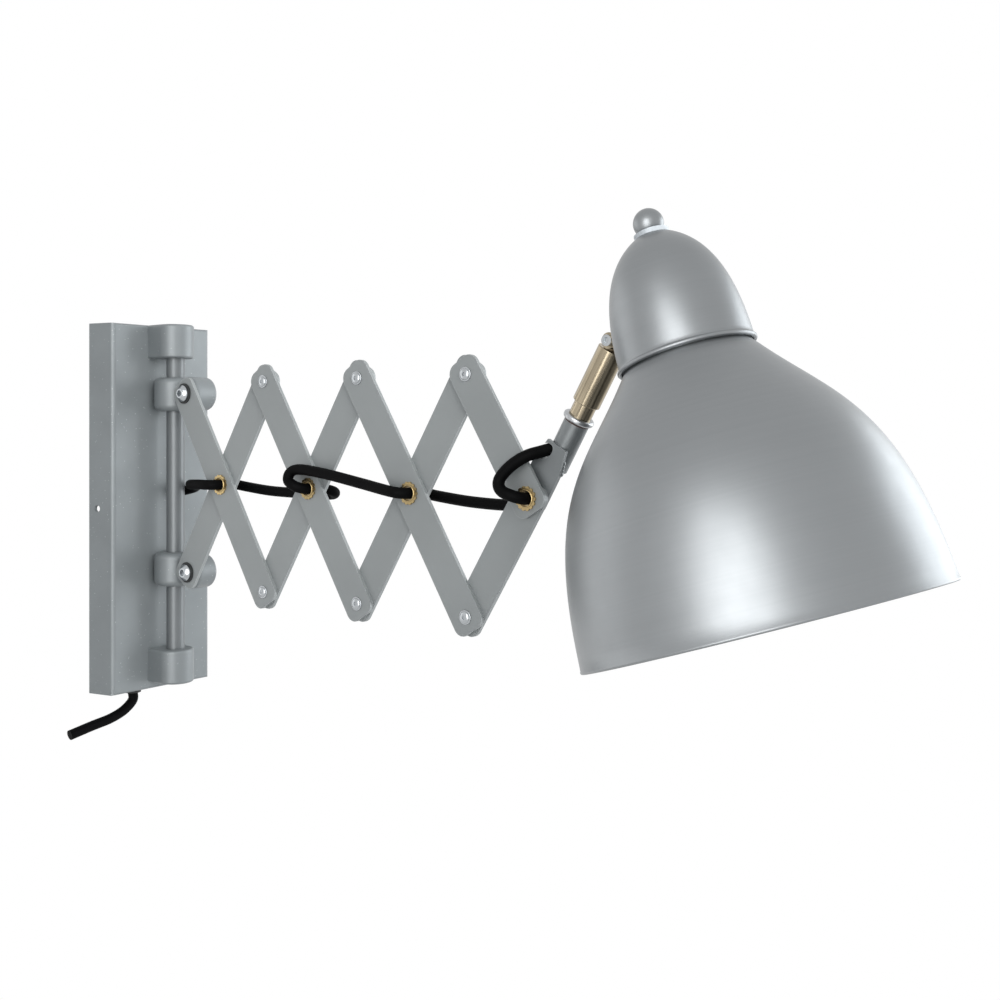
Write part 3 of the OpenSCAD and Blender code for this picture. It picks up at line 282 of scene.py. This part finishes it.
def finish(name, colour, metallic, rough, amount=0.08, scale=30.0, bump=0.02, grain_scale=1200.0,
           glint_gain=0.0, spin=0.0, coat=0.0, rough_amount=0.08, shine=0.5, edge=0.0, painted_streaks=False):
    """A Principled material whose colour, roughness and bump come from the shared groups."""
    mat = bpy.data.materials.new(name)
    mat.use_nodes = True
    tree = mat.node_tree
    tree.nodes.clear()
    out = add(tree, "ShaderNodeOutputMaterial")
    body = add(tree, "ShaderNodeGroup", node_tree=drift)
    for label, value in (("Colour", (*colour, 1)), ("Amount", amount), ("Scale", scale),
                         ("Roughness", rough - rough_amount / 2), ("Rough amount", rough_amount)):
        body.inputs[label].default_value = value
    shown = body.outputs["Colour"]
    # Painted glints of the paint's flakes
    if glint_gain:
        spark = add(tree, "ShaderNodeGroup", node_tree=flake_glints)
        spark.inputs["Gain"].default_value = glint_gain
        tree.links.new(shown, spark.inputs["Colour"])
        shown = spark.outputs["Colour"]
    if spin:
        spun = add(tree, "ShaderNodeGroup", node_tree=rings)
        spun.inputs["Amount"].default_value = spin
        tree.links.new(shown, spun.inputs["Colour"])
        shown = spun.outputs["Colour"]
    # Painted reflection bands along the head tube
    if painted_streaks:
        lined = add(tree, "ShaderNodeGroup", node_tree=streaks)
        tree.links.new(shown, lined.inputs["Colour"])
        shown = lined.outputs["Colour"]
    # Lighter edge line: bare steel with a painted highlight
    if edge:
        bare_and_lit_group = add(tree, "ShaderNodeGroup", node_tree=edges)
        bare_and_lit_group.inputs["Amount"].default_value = edge
        tree.links.new(shown, bare_and_lit_group.inputs["Colour"])
        shown = bare_and_lit_group.outputs["Colour"]
    relief = add(tree, "ShaderNodeGroup", node_tree=grain)
    relief.inputs["Scale"].default_value = grain_scale
    relief.inputs["Height"].default_value = bump
    bsdf = add(tree, "ShaderNodeBsdfPrincipled", {
        "Base Color": shown, "Roughness": body.outputs["Roughness"],
        "Normal": relief.outputs["Normal"], "Metallic": metallic,
        "Coat Weight": coat, "Coat Roughness": 0.2, "Specular IOR Level": shine})
    tree.links.new(bsdf.outputs["BSDF"], out.inputs["Surface"])
    return mat


# %%
# One finish for each slot

FINISHES = {
    # The grey paint takes painted flake glints
    "grey_paint": dict(colour=(0.235, 0.255, 0.262), metallic=0.15, rough=0.42, glint_gain=0.6, bump=0.06),
    "rod_grey": dict(colour=(0.17, 0.183, 0.189), metallic=0.2, rough=0.36, scale=20.0),
    # Bars and bracket take a lighter edge line: bare steel with a painted highlight
    "bar_grey": dict(colour=(0.34, 0.36, 0.36), metallic=0.1, rough=0.42, scale=18.0, amount=0.06,
                     edge=0.7),
    "bracket_grey": dict(colour=(0.22, 0.235, 0.24), metallic=0.35, rough=0.36, amount=0.16,
                         edge=0.3),
    "shade_silver": dict(colour=(0.245, 0.257, 0.265), metallic=0.92, rough=0.4, spin=0.07,
                         amount=0.025, scale=12.0, bump=0.03, grain_scale=2200.0),
    "pale_washer": dict(colour=(0.60, 0.64, 0.67), metallic=0.1, rough=0.5),
    "bright_ring": dict(colour=(0.40, 0.41, 0.42), metallic=1.0, rough=0.32),
    "brown_fibre": dict(colour=(0.055, 0.02, 0.012), metallic=0.0, rough=0.7, amount=0.2),
    # The brass tube takes bands of painted reflection along its axis
    "polished_brass": dict(colour=(0.33, 0.28, 0.2), metallic=1.0, rough=0.2, amount=0.1,
                           scale=60.0, rough_amount=0.06, painted_streaks=True),
    "eyelet_brass": dict(colour=(0.42, 0.32, 0.16), metallic=1.0, rough=0.24, amount=0.15),
    "shell_brass": dict(colour=(0.45, 0.33, 0.15), metallic=1.0, rough=0.32, amount=0.15),
    "zinc": dict(colour=(0.42, 0.44, 0.455), metallic=1.0, rough=0.24, amount=0.1, scale=300.0),
    "plain_steel": dict(colour=(0.33, 0.33, 0.33), metallic=1.0, rough=0.4),
    "dark_steel": dict(colour=(0.06, 0.06, 0.06), metallic=0.8, rough=0.45),
    "dark_washer": dict(colour=(0.02, 0.022, 0.022), metallic=0.0, rough=0.55),
    "pale_plastic": dict(colour=(0.72, 0.72, 0.69), metallic=0.0, rough=0.45),
    "black_plastic": dict(colour=(0.02, 0.02, 0.02), metallic=0.0, rough=0.38, coat=0.2),
    "black_rubber": dict(colour=(0.014, 0.014, 0.014), metallic=0.0, rough=0.65, bump=0.1),
    "cord_black": dict(colour=(0.002, 0.002, 0.0022), metallic=0.0, rough=0.6, amount=0.25,
                       scale=160.0, bump=0.08, grain_scale=900.0, shine=0.05),
    "ceramic": dict(colour=(0.75, 0.73, 0.68), metallic=0.0, rough=0.25, coat=0.4),
}
materials = {slot: finish(slot, **words) for slot, words in FINISHES.items()}

for part in frame["record"]["subparts"]:
    piece = nodes[part["node"]]
    piece.data.materials.clear()
    piece.data.materials.append(materials[part["material_slot"]])
print("finishes:", len(materials))

# %% [markdown]
# ## The shade's skin
#
# A spun shade is one smooth sheet. The skin is turned round the shade's axis from the
# same two curves as the CAD solids, with many more steps, so that its light runs clean.
# The dome's lower lip is a thicker bead than the solid's, as the photograph shows it.

# %%
# Turned outlines

RIM_R, BELL_H, NECK_R = 83.7 * MM, 121.5 * MM, 33 * MM
DOME_R, DOME_LOW, DOME_TOP = 31.9 * MM, 125 * MM, 185.8 * MM
TOP_R, STEM_R, WALL = 8.4 * MM, 5.02 * MM, 1 * MM
NECK_IN_R, NECK_LOW, NECK_HIGH = 30.6 * MM, 124.5 * MM, 132.5 * MM
RIM_BEAD_R, DOME_BEAD_R = 0.9 * MM, 1.1 * MM
TURN_STEPS, CURVE_STEPS, BEAD_STEPS = 144, 64, 8
SHARP_ANGLE = math.radians(40)
# Arcs of the beads, first and last angle in degrees
RIM_ARC, LIP_ARC = (-200, 50), (-180, 80)

BELL_CURVE = [
    Vector((RIM_R, 0)), Vector((RIM_R * (1 - 0.0252), BELL_H * 0.6486)),
    Vector((NECK_R + (RIM_R - NECK_R) * 0.4846, BELL_H * (1 - 0.2687))), Vector((NECK_R, BELL_H)),
]
DOME_RISE = DOME_TOP - DOME_LOW
DOME_CURVE = [
    Vector((DOME_R, DOME_LOW)), Vector((DOME_R, DOME_LOW + DOME_RISE * 0.4796)),
    Vector((TOP_R + (DOME_R - TOP_R) * 0.7722, DOME_TOP - DOME_RISE * 0.1624)),
    Vector((TOP_R, DOME_TOP)),
]


def curve_points(c, steps):
    """Points of a cubic curve."""
    return [c[0] * (1 - t) ** 3 + c[1] * 3 * t * (1 - t) ** 2 + c[2] * 3 * t * t * (1 - t)
            + c[3] * t ** 3 for t in (i / steps for i in range(steps + 1))]


def moved_in(c, wall):
    """The curve's control points, moved towards the axis by one wall."""
    low, high = (c[1] - c[0]).normalized(), (c[3] - c[2]).normalized()
    low_in, high_in = Vector((-low.y, low.x)) * wall, Vector((-high.y, high.x)) * wall
    return [c[0] + low_in, c[1] + low_in, c[2] + high_in, c[3] + high_in]


def bead(centre, radius, first, last, steps=BEAD_STEPS):
    """Points of a round bead's arc, in degrees."""
    return [centre + radius * Vector((math.cos(a), math.sin(a))) for a in
            (math.radians(first + (last - first) * i / steps) for i in range(steps + 1))]


def turned(name, outline, slot, body, places, steps=TURN_STEPS):
    """A closed outline of (radius, height) turned round the Z axis of each place."""
    verts, faces, n = [], [], len(outline)
    for place in places:
        first = len(verts)
        for k in range(steps):
            a = 2 * math.pi * k / steps
            verts += [place @ Vector((p.x * math.cos(a), p.x * math.sin(a), p.y)) for p in outline]
            here, ahead = first + k * n, first + (k + 1) % steps * n
            faces += [(here + i, ahead + i, ahead + (i + 1) % n, here + (i + 1) % n)
                      for i in range(n)]
    mesh = bpy.data.meshes.new(name)
    mesh.from_pydata(verts, [], faces)
    mesh.shade_smooth()
    mesh.set_sharp_from_angle(angle=SHARP_ANGLE)
    mesh.materials.append(materials[slot])
    piece = bpy.data.objects.new(name, mesh)
    bpy.context.scene.collection.objects.link(piece)
    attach(piece, body)
    return piece


bell_outline = (
    bead(Vector((RIM_R - WALL / 2, 0)), RIM_BEAD_R, *RIM_ARC)
    + curve_points(BELL_CURVE, CURVE_STEPS)[2:]
    + [Vector((NECK_IN_R, NECK_LOW)), Vector((NECK_IN_R, NECK_HIGH)),
       Vector((NECK_IN_R - WALL, NECK_HIGH)), Vector((NECK_IN_R - WALL, NECK_LOW))]
    + curve_points(moved_in(BELL_CURVE, WALL), CURVE_STEPS)[:1:-1]
)
dome_outline = (
    bead(Vector((DOME_R, DOME_LOW + DOME_BEAD_R)), DOME_BEAD_R, *LIP_ARC)
    + curve_points(DOME_CURVE, CURVE_STEPS)[2:]
    + [Vector((STEM_R, DOME_TOP)), Vector((STEM_R, DOME_TOP - WALL))]
    + curve_points(moved_in(DOME_CURVE, WALL), CURVE_STEPS)[::-1]
)
bell = turned("bell_skin", bell_outline, "shade_silver", "shade", [shade_frame])
dome = turned("dome_skin", dome_outline, "shade_silver", "shade", [shade_frame])
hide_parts("shade_bell")
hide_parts("shade_dome")
print("skin faces:", len(bell.data.polygons), len(dome.data.polygons))

# %% [markdown]
# ## Rivets
#
# The photograph's rivets have a wide low dome with a rolled edge and a dimple. The frame's
# rivets are plainer, so each is turned again here, at the frame's own places.

# %%
# Dimpled rivets

RIVET_R, RIVET_DOME_R, RIVET_H, SHANK_R = 3.9 * MM, 3.1 * MM, 1.8 * MM, 1.9 * MM
DIMPLE_R, DIMPLE_DEEP, BACK_R, EDGE_H = 1.1 * MM, 0.7 * MM, 2.9 * MM, 0.7 * MM
SEAT_GAP, AXIS_GAP, EDGE_GAP, DIMPLE_RIM_DROP = 0.02 * MM, 0.02 * MM, 0.1 * MM, 0.1 * MM
DIMPLE_TOP_SHARE, DIMPLE_FLOOR_SHARE = 0.9, 0.6
DOME_RISE_ANGLES, EDGE_ARC, RIVET_STEPS = range(0, 69, 8), (-70, 120), 40
MIDDLE_Z = 17 * MM


def rivet_outline(length):
    """Outline of one rivet: front head above height 0, shank and back head below it."""
    rise = [Vector((RIVET_DOME_R * math.cos(a), EDGE_H + (RIVET_H - EDGE_H) * math.sin(a)))
            for a in (math.radians(d) for d in DOME_RISE_ANGLES)]
    return (
        [Vector((RIVET_DOME_R + EDGE_GAP, SEAT_GAP))]
        + bead(Vector((RIVET_R - EDGE_H / 2, EDGE_H / 2)), EDGE_H / 2, *EDGE_ARC)
        + rise
        + [Vector((DIMPLE_R * DIMPLE_TOP_SHARE, RIVET_H - DIMPLE_RIM_DROP)),
           Vector((DIMPLE_R * DIMPLE_FLOOR_SHARE, RIVET_H - DIMPLE_DEEP)),
           Vector((AXIS_GAP, RIVET_H - DIMPLE_DEEP)), Vector((AXIS_GAP, -length)),
           Vector((BACK_R, -length)), Vector((BACK_R, EDGE_H - length)),
           Vector((SHANK_R, EDGE_H - length)), Vector((SHANK_R, SEAT_GAP))]
    )


for body, names in frame["record"]["behaviour"]["bodies"].items():
    for name in names:
        if not name.startswith("rivets_"):
            continue
        points = [nodes[name].matrix_world @ v.co for v in nodes[name].data.vertices]
        front, back = min(p.y for p in points), max(p.y for p in points)
        places = []
        for group in ([p for p in points if p.z > MIDDLE_Z], [p for p in points if p.z < MIDDLE_Z]):
            if group:
                at_x = (min(p.x for p in group) + max(p.x for p in group)) / 2
                at_z = (min(p.z for p in group) + max(p.z for p in group)) / 2
                places.append(Matrix.Translation((at_x, front + RIVET_H, at_z))
                              @ Matrix.Rotation(math.radians(90), 4, "X"))
        rivets = turned(name + "_skin", rivet_outline(back - front - RIVET_H), "zinc", body,
                        places, RIVET_STEPS)
        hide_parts(name)
        print(name, len(places), "rivets")

# %% [markdown]
# ## Cords
#
# A cord is a line through its route's points, made round by a Geometry Nodes tree.
# The tree turns the line into a smooth curve, sweeps a circle along it and sets the
# material. Its result is kept as a plain mesh, one for each stretch between two joints.

# %%
# Cord tree

cord_tree = bpy.data.node_groups.new("Cord along a route", "GeometryNodeTree")
for label, kind, default in (("Geometry", "NodeSocketGeometry", None),
                             ("Radius", "NodeSocketFloat", 3.1 * MM),
                             ("Steps", "NodeSocketInt", 6), ("Sides", "NodeSocketInt", 20),
                             ("Material", "NodeSocketMaterial", None)):
    socket = cord_tree.interface.new_socket(label, in_out="INPUT", socket_type=kind)
    if default is not None:
        socket.default_value = default
cord_tree.interface.new_socket("Geometry", in_out="OUTPUT", socket_type="NodeSocketGeometry")
given, made = cord_tree.nodes.new("NodeGroupInput"), cord_tree.nodes.new("NodeGroupOutput")
line = add(cord_tree, "GeometryNodeMeshToCurve", {"Mesh": given.outputs["Geometry"]})
bent = add(cord_tree, "GeometryNodeCurveSplineType", {"Curve": line.outputs["Curve"]},
           spline_type="CATMULL_ROM")
fine = add(cord_tree, "GeometryNodeSetSplineResolution", {
    "Geometry": bent.outputs["Curve"], "Resolution": given.outputs["Steps"]})
circle = add(cord_tree, "GeometryNodeCurvePrimitiveCircle", {
    "Resolution": given.outputs["Sides"], "Radius": given.outputs["Radius"]})
swept = add(cord_tree, "GeometryNodeCurveToMesh", {
    "Curve": fine.outputs["Geometry"], "Profile Curve": circle.outputs["Curve"],
    "Fill Caps": True})
soft = add(cord_tree, "GeometryNodeSetShadeSmooth", {"Geometry": swept.outputs["Mesh"]})
whole = add(cord_tree, "GeometryNodeRealizeInstances", {"Geometry": soft.outputs["Geometry"]})
dressed = add(cord_tree, "GeometryNodeSetMaterial", {
    "Geometry": whole.outputs["Geometry"], "Material": given.outputs["Material"]})
cord_tree.links.new(dressed.outputs["Geometry"], made.inputs["Geometry"])
INPUT_KEYS = {item.name: item.identifier for item in cord_tree.interface.items_tree
              if item.in_out == "INPUT"}


def cord_piece(name, route, diameter, slot):
    """One stretch of cord along route points, in millimetres, as a plain mesh."""
    points = [Vector(p) * MM for p in route]
    mesh = bpy.data.meshes.new(name)
    mesh.from_pydata(points, [(i, i + 1) for i in range(len(points) - 1)], [])
    piece = bpy.data.objects.new(name, mesh)
    bpy.context.scene.collection.objects.link(piece)
    sweep = piece.modifiers.new("sweep", "NODES")
    sweep.node_group = cord_tree
    sweep[INPUT_KEYS["Radius"]] = diameter / 2
    sweep[INPUT_KEYS["Material"]] = materials[slot]
    seen = piece.evaluated_get(bpy.context.evaluated_depsgraph_get())
    piece.data = bpy.data.meshes.new_from_object(seen)
    piece.modifiers.clear()
    piece.data.name = name
    return piece


# %% [markdown]
# From the plate the cord passes the rod, then weaves through the four eyelets: in from
# the front, back out from behind, and so on. The routes are those of the CAD source,
# apart from the stretch to the first eyelet, which runs straighter here.

# %%
# Arm cord

ARM_CORD_D, HEAD_WIRE_D, LEAD_D = 6.2 * MM, 3 * MM, 6.3 * MM
STRETCHES = {
    "arm_cord_rod": ("wall", "post", [
        (20.1, 12, 10), (26, 12, 10), (35, 12.8, 11.8), (42, 10.6, 13.4), (49, 6, 14.8)]),
    "arm_cord_first": ("post", "front_1", [
        (49, 6, 14.8), (55.5, 0, 15.4), (63, -9.6, 16.1), (71, -16.2, 16.6), (81, -18.2, 17),
        (89, -18.6, 17), (93.6, -17, 17), (94.8, -13.6, 17), (94.8, -10, 17)]),
    "arm_cord_1": ("back_1", "front_2", [
        (94.8, -10, 17), (94.8, -6, 17), (97, -0.6, 16.6), (103, 2.4, 15.4), (124, 2.6, 13.6),
        (148, 2.6, 13), (166, 4.6, 12.6), (176, 5.6, 13), (180.4, 2.2, 14.8),
        (177, -2.4, 16.6), (173.7, -6.2, 17), (173.7, -10, 17)]),
    "arm_cord_2": ("front_2", "back_3", [
        (173.7, -10, 17), (173.7, -14.4, 17), (170.4, -18.6, 18.4), (164.8, -19.2, 21.6),
        (165.4, -18, 26.4), (173, -17, 28.2), (194, -16.9, 26), (220, -16.9, 21.8),
        (240, -18, 18.6), (249, -18, 17.4), (252.7, -14.4, 17), (252.7, -10, 17)]),
    "arm_cord_3": ("back_3", "front_4", [
        (252.7, -10, 17), (252.7, -6, 17), (255.4, -0.8, 16.4), (262, 2, 15), (284, 2.6, 12.8),
        (308, 3.2, 12), (322, 3, 13.6), (329.4, 0.6, 15.8), (331.7, -4.6, 17),
        (331.7, -10, 17)]),
    "arm_cord_4": ("end_eyelet", "head", [
        (331.7, -10, 17), (331.7, -14.6, 17), (328, -18.8, 18.4), (321.4, -19.4, 21),
        (319.6, -18.6, 26), (325, -17.2, 32.6), (333, -14.6, 38), (339, -8.6, 40.6),
        (344.2, -3.4, 42.6), (347.2, -0.9, 44), (348.8, 0, 46.1), (349.9, 0, 47.95)]),
}
for node, (first, second, route) in STRETCHES.items():
    stretch = cord_piece(node + "_skin", route, ARM_CORD_D, "cord_black")
    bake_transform(stretch)
    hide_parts(node)
    print(node, len(stretch.data.vertices), "vertices")

# %%
# Head wire, from the sleeve's end into the dome

WIRE_ROUTE = [
    (370.4, 0, 82.8), (371, 0, 83.8), (372.1, 2, 85.6), (373.1, 3.7, 87.3), (374.3, 3.95, 89.4),
    (375.3, 3.95, 91.1), (377.2, 4.1, 95.4), (376.9, 4.7, 100.2), (376, 5, 105.2),
    (379.6, 4.15, 108.85), (382.5, 3.3, 109), (386.3, 2.2, 109.25), (389.6, 0.9, 112.8),
    (393, -0.9, 116.4), (396.2, -2.6, 117.6), (397.8, -3.2, 116.1), (398.4, -3.2, 114.25)]
wire = cord_piece("head_wire_skin", WIRE_ROUTE, HEAD_WIRE_D, "cord_black")
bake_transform(wire)
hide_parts("head_wire")

# %% [markdown]
# The mains lead is swept along its route from the plate to its cut end,
# as the photograph shows it.

# %%
# Mains lead

LEAD_ROUTE = [
    (12.5, -18, -121.7), (12.5, -18, -127), (12.8, -25, -132.4), (12.6, -35, -136),
    (11.8, -48, -138.4), (10.6, -63, -141.6)]


lead = cord_piece("mains_lead_skin", LEAD_ROUTE, LEAD_D, "cord_black")
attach(lead, "wall")
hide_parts("mains_lead")

# %% [markdown]
# ## Stage, light and camera
#
# The photograph has a pure white ground. Floor and world are white to the camera and in
# metal, and a plain soft grey to everything else. Four large soft lamps light the object.

# %%
# White ground


def white_to_camera(tree, seen_else):
    """White to the camera, in metal and through glass; another shader for all other rays."""
    path = add(tree, "ShaderNodeLightPath")
    seen = add(tree, "ShaderNodeMath", {
        0: path.outputs["Is Camera Ray"], 1: path.outputs["Is Glossy Ray"]}, operation="MAXIMUM")
    through = add(tree, "ShaderNodeMath", {
        0: seen.outputs[0], 1: path.outputs["Is Transmission Ray"]}, operation="MAXIMUM")
    white = add(tree, "ShaderNodeEmission", {"Color": (1, 1, 1, 1), "Strength": 1.0})
    mix = add(tree, "ShaderNodeMixShader", {"Fac": through.outputs[0]})
    tree.links.new(seen_else, mix.inputs[1])
    tree.links.new(white.outputs[0], mix.inputs[2])
    return mix.outputs[0]


FLOOR_Z, FLOOR_HALF = -0.55, 4.0
FLOOR_DARK, FLOOR_PALE, MOTTLE_SCALE = 0.6, 0.68, 3.0
LOW_LIGHT, HIGH_LIGHT = 0.62, 0.5
LOW_AT, HIGH_AT = -0.25, 0.45
floor_mat = bpy.data.materials.new("floor")
floor_mat.use_nodes = True
tree = floor_mat.node_tree
tree.nodes.clear()
mottle = add(tree, "ShaderNodeTexNoise", {"Scale": MOTTLE_SCALE})
pale = add(tree, "ShaderNodeMapRange", {
    "Value": mottle.outputs["Fac"], "To Min": FLOOR_DARK, "To Max": FLOOR_PALE})
matt = add(tree, "ShaderNodeBsdfDiffuse", {"Color": pale.outputs["Result"]})
out = add(tree, "ShaderNodeOutputMaterial", {"Surface": white_to_camera(tree, matt.outputs[0])})
floor_mesh = bpy.data.meshes.new("floor")
floor_mesh.from_pydata([(x * FLOOR_HALF, y * FLOOR_HALF, FLOOR_Z) for x, y in
                        ((-1, -1), (1, -1), (1, 1), (-1, 1))], [], [(0, 1, 2, 3)])
floor_mesh.materials.append(floor_mat)
floor = bpy.data.objects.new("floor", floor_mesh)
bpy.context.scene.collection.objects.link(floor)

scene = bpy.context.scene
scene.world = bpy.data.worlds.new("studio")
scene.world.use_nodes = True
tree = scene.world.node_tree
tree.nodes.clear()
way = add(tree, "ShaderNodeTexCoord")
height = add(tree, "ShaderNodeSeparateXYZ", {"Vector": way.outputs["Generated"]})
level = add(tree, "ShaderNodeMapRange", {
    "Value": height.outputs["Z"], "From Min": LOW_AT, "From Max": HIGH_AT,
    "To Min": LOW_LIGHT, "To Max": HIGH_LIGHT})
dim = add(tree, "ShaderNodeBackground", {
    "Color": (0.94, 0.97, 1, 1), "Strength": level.outputs["Result"]})
add(tree, "ShaderNodeOutputWorld", {"Surface": white_to_camera(tree, dim.outputs[0])})

# %%
# Soft lamps: each is given by its direction from the shade


def lamp(name, way, reach, size, radiance, colour=(1, 1, 1), gloss=True, diffuse=True):
    """An area lamp that faces the object and has that much light per area."""
    data = bpy.data.lights.new(name, "AREA")
    data.shape = "RECTANGLE"
    (data.size, data.size_y), data.color = size, colour
    data.energy = radiance * math.pi * data.size * data.size_y
    light = bpy.data.objects.new(name, data)
    light.location = LAMP_AIM + Vector(way).normalized() * reach
    light.rotation_euler = (-Vector(way)).to_track_quat("-Z", "Y").to_euler()
    light.visible_glossy, light.visible_diffuse = gloss, diffuse
    scene.collection.objects.link(light)


LAMP_AIM = Vector((0.42, 0, 0.03))
COOL = (0.93, 0.97, 1)
lamp("front panel", (0.26, -0.97, 0.1), 1.5, (1.0, 1.5), 4.3, diffuse=False)
lamp("right behind", (0.44, 0.9, 0.1), 1.6, (1.25, 1.3), 3.1, COOL)
lamp("left side", (-0.97, -0.2, 0), 1.6, (1.3, 1.3), 0.7, diffuse=False)
lamp("fill", (0.85, -0.38, 0.4), 1.6, (1.2, 1.2), 4.6, gloss=False)

# %%
# Camera

CAMERA_AT = (690.2 * MM, -492.2 * MM, 52 * MM)
CAMERA_YAW = math.radians(38)
SENSOR_WIDTH, LENS, SHIFT_Y = 36, 43.2, -0.0717
camera_data = bpy.data.cameras.new("camera")
camera_data.sensor_width, camera_data.lens = SENSOR_WIDTH, LENS
camera_data.shift_y = SHIFT_Y
camera_data.clip_start, camera_data.clip_end = 0.01, 20
camera = bpy.data.objects.new("camera", camera_data)
camera.location = CAMERA_AT
camera.rotation_euler = (math.radians(90), 0, CAMERA_YAW)
scene.collection.objects.link(camera)
scene.camera = camera
scene.view_settings.view_transform = "Standard"
